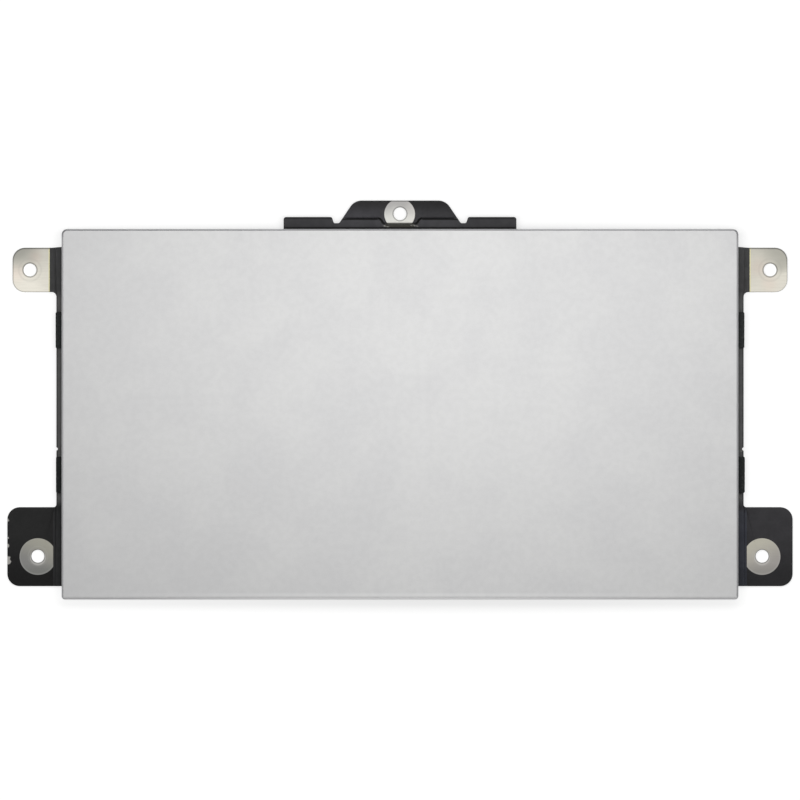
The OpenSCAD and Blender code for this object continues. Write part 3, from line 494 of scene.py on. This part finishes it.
def select_edges(piece, test):
    """In edit mode, selects only the edges whose two ends pass the test."""
    bpy.ops.mesh.select_mode(type="EDGE")
    bpy.ops.mesh.select_all(action="DESELECT")
    mesh = bmesh.from_edit_mesh(piece.data)
    for edge in mesh.edges:
        if test(edge.verts[0].co, edge.verts[1].co):
            edge.select_set(True)
    bmesh.update_edit_mesh(piece.data)


def copies_joined(piece, moves):
    """The piece copied by each move in millimetres, all joined in one mesh under its own name."""
    copies = []
    for move in moves[1:]:
        copy = piece.copy()
        copy.data = piece.data.copy()
        copy.data.transform(Matrix.Translation([m * MM for m in move]))
        bpy.context.collection.objects.link(copy)
        copies.append(copy)
    piece.data.transform(Matrix.Translation([m * MM for m in moves[0]]))
    bpy.ops.object.select_all(action="DESELECT")
    for part in (*copies, piece):
        part.select_set(True)
    bpy.context.view_layer.objects.active = piece
    bpy.ops.object.join()


def named_primitive(name):
    """Names the primitive just added and applies its place, so that its object sits at the origin."""
    piece = bpy.context.active_object
    piece.name = name
    bpy.ops.object.transform_apply(location=True, rotation=True, scale=True)
    return piece


rivet_xs, rivet_y = (-34.8, -29.2, 29.2, 34.8), 24.15
head_r, shank_r, tail_r = 1.2, 0.7, 1.05
tail_z, sink_z, leaf_z, head_z = 0.3, 0.65, 1.45, 1.63
bpy.ops.object.select_all(action="DESELECT")
bpy.ops.mesh.primitive_cylinder_add(vertices=32, radius=tail_r * MM, depth=(sink_z - tail_z) * MM,
                                    location=(0, 0, (tail_z + sink_z) / 2 * MM))
rivets = named_primitive("rivet_set")
bpy.ops.object.mode_set(mode="EDIT")
select_faces(rivets, lambda at, normal: normal.z > 0.9)
bpy.ops.transform.resize(value=(shank_r / tail_r, shank_r / tail_r, 1))
bpy.ops.mesh.extrude_region_move(TRANSFORM_OT_translate={"value": (0, 0, (leaf_z - sink_z) * MM)})
bpy.ops.mesh.extrude_region_move()
bpy.ops.transform.resize(value=(head_r / shank_r, head_r / shank_r, 1))
bpy.ops.mesh.extrude_region_move(TRANSFORM_OT_translate={"value": (0, 0, (head_z - leaf_z) * MM)})
select_edges(rivets, lambda a, b: min(a.z, b.z) > (head_z - 0.01) * MM)
bpy.ops.mesh.bevel(offset=0.16 * MM, segments=4, affect="EDGES")
bpy.ops.object.mode_set(mode="OBJECT")
bpy.ops.object.shade_smooth_by_angle(angle=math.radians(35))
rivet_finish = rolled_metal("zinc on rivets", (0.60, 0.60, 0.58), (0.42, 0.42, 0.41), 0.32, (1.0, 1.0, 1.0),
                            2.0)
rivets.data.materials.append(rivet_finish)
copies_joined(rivets, [(rivet_x, rivet_y, 0) for rivet_x in rivet_xs])
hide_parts("hinge_rivets")
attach(rivets, "frame")

# Side dampers: four strips of black closed-cell foam, die cut and stuck on the side rails. They stand out a
# little past the rails, and stop the touch plate's edges from rattling on the frame.
foam_size, foam_cuts = (2.3, 6.2, 0.7), (8, 20)
foam_low = 0.8
foam_places = [(-57.45, 11.875, 0), (57.45, 11.875, 0), (-57.38, -12.725, 0), (57.52, -12.725, 0)]
bpy.ops.object.select_all(action="DESELECT")
bpy.ops.mesh.primitive_cube_add(size=1, location=(0, 0, (foam_low + foam_size[2] / 2) * MM),
                                scale=[side * MM for side in foam_size])
foam = named_primitive("foam_dampers")
bpy.ops.object.mode_set(mode="EDIT")
select_edges(foam, lambda a, b: abs(a.z - b.z) > 0.1 * MM)
bpy.ops.mesh.bevel(offset=0.25 * MM, segments=4, affect="EDGES")
select_edges(foam, lambda a, b: min(a.z, b.z) > (foam_low + 0.6) * MM)
bpy.ops.mesh.bevel(offset=0.14 * MM, segments=3, affect="EDGES")
for axis in (1, 0):
    cut_at(axis, [(cut / foam_cuts[axis] - 0.5) * foam_size[axis] for cut in range(1, foam_cuts[axis])])
bpy.ops.object.mode_set(mode="OBJECT")
cells = bpy.data.textures.new("foam cells", "CLOUDS")
cells.noise_scale = 0.35 * MM
swell = foam.modifiers.new("foam cells", "DISPLACE")
swell.texture = cells
swell.texture_coords = "LOCAL"
swell.strength = 0.06 * MM
swell.mid_level = 1.0
bpy.ops.object.modifier_apply(modifier=swell.name)
bpy.ops.object.shade_smooth()

foam_finish, tree, shader = new_finish("closed-cell foam")
place, x, y, z = millimetres(tree)
pores = tree.nodes.new("ShaderNodeTexVoronoi")
pores.inputs["Scale"].default_value = 7.0
tree.links.new(place, pores.inputs["Vector"])
pore = fade(tree, pores.outputs["Distance"], 0.1, 0.6)
dust_and_painted_light = fade(tree, noise(tree, place, 1.5), 0.55, 0.8, 0.0, 0.5)
foam_tone = mixed(tree, pore, (0.062, 0.067, 0.068), (0.036, 0.039, 0.039))
foam_tone = mixed(tree, fade(tree, y, 5.0, -5.0, 0.08, 0.3), foam_tone, BLACK)
tree.links.new(mixed(tree, dust_and_painted_light, foam_tone, (0.09, 0.093, 0.092)), shader.inputs["Base Color"])
tree.links.new(fade(tree, pore, 0.0, 1.0, 0.85, 1.0), shader.inputs["Roughness"])
shader.inputs["Specular IOR Level"].default_value = 0.1
add_bump(tree, shader, pore, 0.03)
foam.data.materials.append(foam_finish)
copies_joined(foam, foam_places)
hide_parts("side_dampers")
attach(foam, "frame")

# Down stops: two buttons moulded from black silicone rubber and stuck on the front beam. They catch a hard
# press near a front corner.
stops = worked_copy("down_stop_pads", "rubber_stops")
ease_edges(stops, 0.1, 3, 30)
stop_finish, tree, shader = new_finish("silicone rubber")
place = millimetres(tree)[0]
bloom = noise(tree, place, 1.2)
tree.links.new(mixed(tree, bloom, (0.018, 0.018, 0.018), (0.045, 0.045, 0.046)), shader.inputs["Base Color"])
tree.links.new(fade(tree, bloom, 0.2, 0.8, 0.6, 0.8), shader.inputs["Roughness"])
add_bump(tree, shader, noise(tree, place, 9.0), 0.01)
stops.data.materials.append(stop_finish)
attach(stops, "frame")

# Carrier plate: a 0.3 mm stainless plate that stiffens the board, punched open round the parts under it. The
# two leaf springs are spot welded to its underside.
carrier = worked_copy("carrier_plate", "carrier_sheet")
ease_edges(carrier, 0.03, 2)
carrier_finish = rolled_metal("rolled stainless carrier", (0.56, 0.56, 0.55), (0.40, 0.40, 0.39), 0.3,
                              (0.06, 2.0, 1.0))
carrier.data.materials.append(carrier_finish)
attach(carrier, "touch_plate")

# Adhesive films: two thin sheets of double-sided tape, die cut. One holds the carrier plate to the board, and
# the other holds the glass.
film_finish, tree, shader = new_finish("double-sided film")
place = millimetres(tree)[0]
ripple = noise(tree, place, 0.8)
tree.links.new(mixed(tree, ripple, (0.70, 0.68, 0.62), (0.80, 0.78, 0.73)), shader.inputs["Base Color"])
tree.links.new(fade(tree, ripple, 0.2, 0.8, 0.4, 0.6), shader.inputs["Roughness"])
add_bump(tree, shader, ripple, 0.01)
for node, name in (("carrier_tape", "carrier_film"), ("glass_adhesive", "glass_film")):
    film = worked_copy(node, name)
    ease_edges(film, 0.01, 1)
    film.data.materials.append(film_finish)
    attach(film, "touch_plate")

# Sensor board: a 0.8 mm glass-fibre laminate under the whole glass, with the touch electrodes on top and the
# parts soldered underneath. Green solder mask covers both faces and the routed edge shows the bare laminate.
board = worked_copy("sensor_board", "sensor_panel")
ease_edges(board, 0.03, 2)
mask_finish, tree, shader = new_finish("green solder mask")
place, x, y, z = millimetres(tree)
tracks = maths(tree, "FRACT", maths(tree, "MULTIPLY", y, 1.25))
tracks = fade(tree, maths(tree, "ABSOLUTE", maths(tree, "SUBTRACT", tracks, 0.5)), 0.2, 0.16)
runs = fade(tree, noise(tree, place, 0.06, (1.0, 2.5, 1.0)), 0.5, 0.52)
copper = maths(tree, "MULTIPLY", tracks, runs)
lacquer = mixed(tree, noise(tree, place, 0.4), (0.014, 0.075, 0.042), (0.02, 0.095, 0.055))
tree.links.new(mixed(tree, copper, lacquer, (0.03, 0.15, 0.08)), shader.inputs["Base Color"])
tree.links.new(fade(tree, noise(tree, place, 3.0), 0.2, 0.8, 0.25, 0.4), shader.inputs["Roughness"])
add_bump(tree, shader, copper, 0.02)
edge_finish, tree, shader = new_finish("routed laminate edge")
place, x, y, z = millimetres(tree)
plies = maths(tree, "FRACT", maths(tree, "MULTIPLY", z, 7.0))
plies = fade(tree, maths(tree, "ABSOLUTE", maths(tree, "SUBTRACT", plies, 0.5)), 0.1, 0.4)
fibres = noise(tree, place, 5.0, (1.0, 1.0, 3.0), 4)
resin = mixed(tree, plies, (0.30, 0.30, 0.16), (0.21, 0.23, 0.12))
resin = mixed(tree, fade(tree, fibres, 0.4, 0.8), resin, (0.42, 0.42, 0.3))
tree.links.new(resin, shader.inputs["Base Color"])
tree.links.new(fade(tree, fibres, 0.2, 0.8, 0.55, 0.85), shader.inputs["Roughness"])
add_bump(tree, shader, fibres, 0.02)
board.data.materials.append(mask_finish)
board.data.materials.append(edge_finish)
bpy.ops.object.mode_set(mode="EDIT")
select_faces(board, lambda at, normal: abs(normal.z) < 0.5)
board.active_material_index = 1
bpy.ops.object.material_slot_assign()
bpy.ops.object.mode_set(mode="OBJECT")
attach(board, "touch_plate")

# Touch controller: a square moulded chip with a pin-one dimple and tinned lands along its four sides,
# soldered under the board. It reads the electrodes and the click switch.
chip = worked_copy("touch_controller", "controller_chip")
ease_edges(chip, 0.06, 2)


def moulded(name, colour, fleck, rough, grain=6.0, relief=0.008):
    """Moulded plastic or epoxy: flecks of a second colour, and the fine texture of the mould."""
    finish, tree, shader = new_finish(name)
    place = millimetres(tree)[0]
    texture = noise(tree, place, grain, (1, 1, 1), 3)
    flow = noise(tree, place, 0.7)
    tone = mixed(tree, fade(tree, texture, 0.45, 0.75), colour, fleck)
    tone = mixed(tree, fade(tree, flow, 0.4, 0.8, 0.0, 0.4), tone, fleck)
    tree.links.new(tone, shader.inputs["Base Color"])
    tree.links.new(fade(tree, texture, 0.2, 0.8, rough, rough + 0.15), shader.inputs["Roughness"])
    add_bump(tree, shader, texture, relief)
    return finish


epoxy_finish = moulded("moulded epoxy", (0.018, 0.018, 0.02), (0.035, 0.035, 0.038), 0.5)
chip.data.materials.append(epoxy_finish)
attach(chip, "touch_plate")


def joined_with_turned(piece, centre):
    """Joins the active piece with a copy turned a quarter round Z, and moves both to the centre."""
    turned = piece.copy()
    turned.data = piece.data.copy()
    turned.data.transform(Matrix.Rotation(math.radians(90), 4, "Z"))
    bpy.context.collection.objects.link(turned)
    turned.select_set(True)
    bpy.ops.object.join()
    piece.data.transform(Matrix.Translation((centre[0] * MM, centre[1] * MM, 0)))


tin_finish = rolled_metal("matte tin", (0.66, 0.65, 0.62), (0.5, 0.49, 0.47), 0.34, (1.0, 1.0, 1.0), 5.0)
chip_at, chip_half, board_z = (3.0, -5.425), 3.5, 1.8
land_size, land_pitch, lands_per_side = (0.12, 0.26, 0.2), 0.5, 12
bpy.ops.object.select_all(action="DESELECT")
bpy.ops.mesh.primitive_cube_add(size=1, location=(0, 0, (board_z - land_size[2] / 2) * MM),
                                scale=[side * MM for side in land_size])
lands = named_primitive("controller_lands")
bpy.ops.object.mode_set(mode="EDIT")
select_edges(lands, lambda a, b: abs(a.z - b.z) > 0.1 * MM)
bpy.ops.mesh.bevel(offset=0.04 * MM, segments=2, affect="EDGES")
bpy.ops.object.mode_set(mode="OBJECT")
lands.data.materials.append(tin_finish)
along = [(i - (lands_per_side - 1) / 2) * land_pitch for i in range(lands_per_side)]
copies_joined(lands, [(side * chip_half, land_y, 0) for side in (-1, 1) for land_y in along])
joined_with_turned(lands, chip_at)
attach(lands, "touch_plate")

# Chip capacitors and resistors: fired ceramic blocks with tinned ends, soldered round the controller and
# beside the socket. The capacitors are tan all over, and the resistors have a black glaze.


def chip_part(name, size, body_finish):
    """One block along X under the board: its ends stand a little proud of its body, and are tinned."""
    cap, skin = 0.25, 0.015
    bpy.ops.object.select_all(action="DESELECT")
    bpy.ops.mesh.primitive_cube_add(size=1, location=(0, 0, (board_z - size[2] / 2) * MM),
                                    scale=[(side - 2 * skin) * MM for side in size])
    part = named_primitive(name)
    bpy.ops.object.mode_set(mode="EDIT")
    cut_at(0, [end * (size[0] / 2 - cap) for end in (-1, 1)])
    select_faces(part, lambda at, normal: abs(at.x) > (size[0] / 2 - cap) * MM)
    bpy.ops.mesh.extrude_region_shrink_fatten(TRANSFORM_OT_shrink_fatten={"value": skin * MM})
    part.data.materials.append(body_finish)
    part.data.materials.append(tin_finish)
    part.active_material_index = 1
    bpy.ops.object.material_slot_assign()
    bpy.ops.mesh.select_all(action="SELECT")
    bpy.ops.mesh.normals_make_consistent(inside=False)
    bpy.ops.object.mode_set(mode="OBJECT")
    ease_edges(part, 0.006, 1)
    return part


fired_finish = moulded("fired ceramic", (0.40, 0.28, 0.16), (0.48, 0.36, 0.22), 0.5)
capacitors = chip_part("capacitor_set", (1.0, 0.5, 0.5), fired_finish)
to_capacitors, capacitor_pitch = 4.6, 7 / 3
copies_joined(capacitors, [(side * to_capacitors, row * capacitor_pitch, 0)
                           for side in (-1, 1) for row in (-1, 0, 1)])
joined_with_turned(capacitors, chip_at)
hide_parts("chip_capacitors")
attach(capacitors, "touch_plate")

glaze_finish = moulded("black resistor glaze", (0.02, 0.02, 0.022), (0.03, 0.03, 0.034), 0.25)
resistors = chip_part("resistor_set", (1.0, 0.5, 0.35), glaze_finish)
resistors.data.transform(Matrix.Rotation(math.radians(90), 4, "Z"))
socket_at, to_resistors = (-5.0, 7.075), 4.45
copies_joined(resistors, [(socket_at[0] + side * to_resistors, socket_at[1] + row, 0)
                          for side in (-1, 1) for row in (-1, 1)])
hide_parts("chip_resistors")
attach(resistors, "touch_plate")

# Cable socket: a low moulded housing for a flat cable, with eight gold-flashed contacts and two tinned anchor
# tabs soldered to the board. The black flip latch turns on two pins in the end walls and clamps the cable.
natural_finish = moulded("natural socket plastic", (0.70, 0.64, 0.50), (0.62, 0.56, 0.42), 0.4)
latch_finish = moulded("black moulded plastic", (0.022, 0.022, 0.022), (0.035, 0.034, 0.034), 0.4)
gold_finish = rolled_metal("gold flash", (0.80, 0.56, 0.22), (0.66, 0.44, 0.15), 0.2, (1.0, 0.2, 1.0), 6.0)
for node, name, finish, slot, body, width in (
        ("socket_housing", "socket_block", natural_finish, "socket_plastic", "touch_plate", 0.02),
        ("socket_contacts", "socket_pins", gold_finish, "contact_gold", "touch_plate", 0.015),
        ("socket_anchor_tabs", "socket_anchors", tin_finish, "tinned_metal", "touch_plate", 0.05),
        ("socket_latch", "flip_latch", latch_finish, "latch_plastic", "cable_latch", 0.03)):
    piece = worked_copy(node, name)
    ease_edges(piece, width, 2)
    piece.data.materials.append(finish)
    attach(piece, body)

# Click switch: a moulded base with a round well, a snap dome in it, a plunger, and a steel cover clipped on
# by two side tabs. It hangs under the front of the board, and its plunger meets the boss in the frame at
# each click. The dome's rim stays in the well, and its crown is pushed flat by the plunger.
dome_finish = rolled_metal("polished snap dome", (0.68, 0.67, 0.64), (0.55, 0.54, 0.52), 0.15,
                           (1.0, 1.0, 1.0), 4.0)
cover_finish = rolled_metal("stamped switch cover", (0.62, 0.62, 0.60), (0.48, 0.48, 0.46), 0.3,
                            (0.2, 2.0, 1.0), 5.0)
plunger_finish = moulded("grey plunger", (0.06, 0.06, 0.065), (0.08, 0.08, 0.085), 0.45)
for node, name, finish, slot, body, width in (
        ("switch_base", "switch_housing", latch_finish, "latch_plastic", "touch_plate", 0.03),
        ("switch_terminals", "switch_feet", tin_finish, "tinned_metal", "touch_plate", 0.02),
        ("switch_dome", "snap_dome", dome_finish, "spring_steel", None, 0.005),
        ("switch_cover", "switch_lid", cover_finish, "tinned_metal", "touch_plate", 0.02),
        ("switch_plunger", "click_plunger", plunger_finish, "latch_plastic", "switch_button", 0.03)):
    piece = worked_copy(node, name)
    ease_edges(piece, width, 2)
    piece.data.materials.append(finish)
    if body:
        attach(piece, body)
    else:
        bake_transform(piece)

# Cover glass: 0.7 mm strengthened glass, cut and ground to a chamfer all round. Its top is etched to a fine
# satin, and a silver print on its back gives the pad its colour. The ground edge has no print and is greyer.
low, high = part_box("touch_glass")
rear_corner, front_corner, chamfer = 1.0, 0.6, 0.3
bpy.ops.object.select_all(action="DESELECT")
bpy.ops.mesh.primitive_cube_add(size=1, location=(low + high) / 2, scale=high - low)
glass = named_primitive("cover_glass")
bpy.ops.object.mode_set(mode="EDIT")
select_edges(glass, lambda a, b: abs(a.z - b.z) > 0.1 * MM and a.y > 0)
bpy.ops.mesh.bevel(offset=rear_corner * MM, segments=8, affect="EDGES")
select_edges(glass, lambda a, b: abs(a.z - b.z) > 0.1 * MM and a.y < -30 * MM)
bpy.ops.mesh.bevel(offset=front_corner * MM, segments=8, affect="EDGES")
select_edges(glass, lambda a, b: min(a.z, b.z) > high.z - 0.01 * MM)
bpy.ops.mesh.bevel(offset=chamfer * MM, segments=1, affect="EDGES")
bpy.ops.object.mode_set(mode="OBJECT")
ease_edges(glass, 0.05, 2, 30)

satin_finish, tree, shader = new_finish("etched silver glass")
place, x, y, z = millimetres(tree)
grain = noise(tree, place, 5.0, (1, 1, 1), 3)
mottle = noise(tree, place, 0.12, (1, 1, 1), 4)
silver = mixed(tree, fade(tree, mottle, 0.35, 0.65), (0.667, 0.667, 0.669), (0.697, 0.697, 0.695))
speckle = noise(tree, place, 0.9, (1, 1, 1), 5)
silver = mixed(tree, fade(tree, speckle, 0.35, 0.65, 0.034, 0.0), silver, BLACK)
silver = mixed(tree, fade(tree, grain, 0.5, 0.8, 0.0, 0.5), silver, (0.70, 0.70, 0.70))
silver = mixed(tree, fade(tree, grain, 0.5, 0.2, 0.0, 0.5), silver, (0.63, 0.63, 0.63))

# A painted highlight and then painted shade along the front edge, and painted light on the left end
middle = fade(tree, maths(tree, "ABSOLUTE", x), 60.0, 10.0, 0.2, 1.0)
painted_edge_highlight = maths(tree, "MULTIPLY", fade(tree, y, -32.6, -33.1, 0.0, 0.2), fade(tree, y, -33.38, -33.26))
painted_edge_highlight = maths(tree, "MULTIPLY", painted_edge_highlight, middle)
silver = mixed(tree, painted_edge_highlight, silver, WHITE)
silver = mixed(tree, fade(tree, y, -33.3, -33.55, 0.0, 0.12), silver, BLACK)
silver = mixed(tree, fade(tree, x, -25.0, -57.0, 0.0, 0.065), silver, WHITE)

tree.links.new(silver, shader.inputs["Base Color"])
tree.links.new(fade(tree, grain, 0.2, 0.8, 0.42, 0.52), shader.inputs["Roughness"])
shader.inputs["Specular IOR Level"].default_value = 0.4
add_bump(tree, shader, grain, 0.002)

ground_finish, tree, shader = new_finish("ground glass edge")
place, x, y, z = millimetres(tree)
far = maths(tree, "ABSOLUTE", x)
frost = noise(tree, place, 4.0, (1, 1, 1), 3)
ground = mixed(tree, frost, (0.50, 0.50, 0.512), (0.58, 0.58, 0.592))

# Darker along the rear with a lighter rim past the bracket, darker at the right, and painted light along the
# front
rear_edge = mixed(tree, fade(tree, x, -50.0, 40.0), (0.235, 0.235, 0.245), (0.30, 0.30, 0.31))
rear_edge = mixed(tree, fade(tree, y, 28.89, 28.96), rear_edge, (0.56, 0.56, 0.57))
past_bracket = fade(tree, far, 19.7, 20.1)
rear_edge = mixed(tree, past_bracket, (0.33, 0.33, 0.34), rear_edge)
ground = mixed(tree, fade(tree, y, 27.0, 29.0), ground, rear_edge)
ground = mixed(tree, fade(tree, x, 57.0, 57.3, 0.0, 0.2), ground, BLACK)
lit = mixed(tree, fade(tree, far, 55.0, 15.0), (0.65, 0.65, 0.66), WHITE)
lit = mixed(tree, fade(tree, y, -33.8, -33.88), lit, WHITE)
ground = mixed(tree, fade(tree, y, -33.3, -33.6), ground, lit)

tree.links.new(ground, shader.inputs["Base Color"])
tree.links.new(fade(tree, frost, 0.2, 0.8, 0.3, 0.45), shader.inputs["Roughness"])
add_bump(tree, shader, frost, 0.004)
glass.data.materials.append(satin_finish)
glass.data.materials.append(ground_finish)
bpy.ops.object.mode_set(mode="EDIT")
select_faces(glass, lambda at, normal: abs(normal.z) < 0.95)
glass.active_material_index = 1
bpy.ops.object.material_slot_assign()
bpy.ops.object.mode_set(mode="OBJECT")
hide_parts("touch_glass")
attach(glass, "touch_plate")

# Photo table: a matte white sheet under the module. It glows a little to the camera and to shiny parts, more
# where the soft box reaches it less, so that it looks white all over and still shows the module's shadow.
table_size, table_drop = 6, 0.02 * MM
soft_box_at = (10.0, 23.0, 96.0)
bpy.ops.object.select_all(action="DESELECT")
bpy.ops.mesh.primitive_plane_add(size=table_size, location=(0, 0, -table_drop))
table = named_primitive("table")
table_finish, tree, shader = new_finish("matte white table")
place, x, y, z = millimetres(tree)
rays = tree.nodes.new("ShaderNodeLightPath").outputs
seen = maths(tree, "MAXIMUM", rays["Is Camera Ray"], rays["Is Glossy Ray"])
seen = maths(tree, "MAXIMUM", seen, rays["Is Transmission Ray"])
tree.links.new(mixed(tree, seen, (0.8, 0.8, 0.8), (0.4, 0.4, 0.4)), shader.inputs["Base Color"])
glow = fade(tree, from_point(tree, x, y, soft_box_at), 10.0, 110.0, 0.62, 0.84)
tree.links.new(maths(tree, "MULTIPLY", seen, glow), shader.inputs["Emission Strength"])
shader.inputs["Emission Color"].default_value = (1, 1, 1, 1)
shader.inputs["Roughness"].default_value = 0.9
shader.inputs["Specular IOR Level"].default_value = 0.0
table.data.materials.append(table_finish)

# Studio light: an even pale room that is darker towards its walls in shiny parts, and a soft box close above
# the rear half of the pad, which is brightest there.
room = bpy.data.worlds.new("pale room")
bpy.context.scene.world = room
room.use_nodes = True
tree = room.node_tree
ambient, wall = 0.353, 0.35
heading = tree.nodes.new("ShaderNodeSeparateXYZ")
tree.links.new(tree.nodes.new("ShaderNodeTexCoord").outputs["Generated"], heading.inputs[0])
mirrored = fade(tree, heading.outputs["Z"], 0.0, 0.7, wall, 1.0)
rays = tree.nodes.new("ShaderNodeLightPath").outputs
seen = maths(tree, "MAXIMUM", rays["Is Camera Ray"], rays["Is Transmission Ray"])
strength = maths(tree, "ADD", ambient, maths(tree, "MULTIPLY", seen, 1 - ambient))
shine = maths(tree, "MULTIPLY", rays["Is Glossy Ray"], maths(tree, "SUBTRACT", mirrored, ambient))
tree.links.new(maths(tree, "ADD", strength, shine), tree.nodes["Background"].inputs["Strength"])
tree.nodes["Background"].inputs["Color"].default_value = (1, 1, 1, 1)

bpy.ops.object.light_add(type="AREA", location=[each * MM for each in soft_box_at])
soft_box = bpy.context.active_object
soft_box.name = "soft box"
soft_box.data.shape = "ELLIPSE"
soft_box.data.size = 173 * MM
soft_box.data.size_y = 67 * MM
soft_box.data.energy = 0.09
soft_box.visible_camera = False
soft_box.visible_glossy = False

# Camera: straight above, far off with a long lens, so that the holes show no slant.
view_width, view_level, lens, sensor = 136 * MM, 2 * MM, 600, 36
bpy.ops.object.camera_add(location=(0, 0, view_width * lens / sensor + view_level), rotation=(0, 0, 0))
camera = bpy.context.active_object
camera.data.lens = lens
camera.data.sensor_width = sensor
camera.data.clip_start = 0.1
camera.data.clip_end = 100
bpy.context.scene.camera = camera
bpy.context.scene.view_settings.view_transform = "Standard"
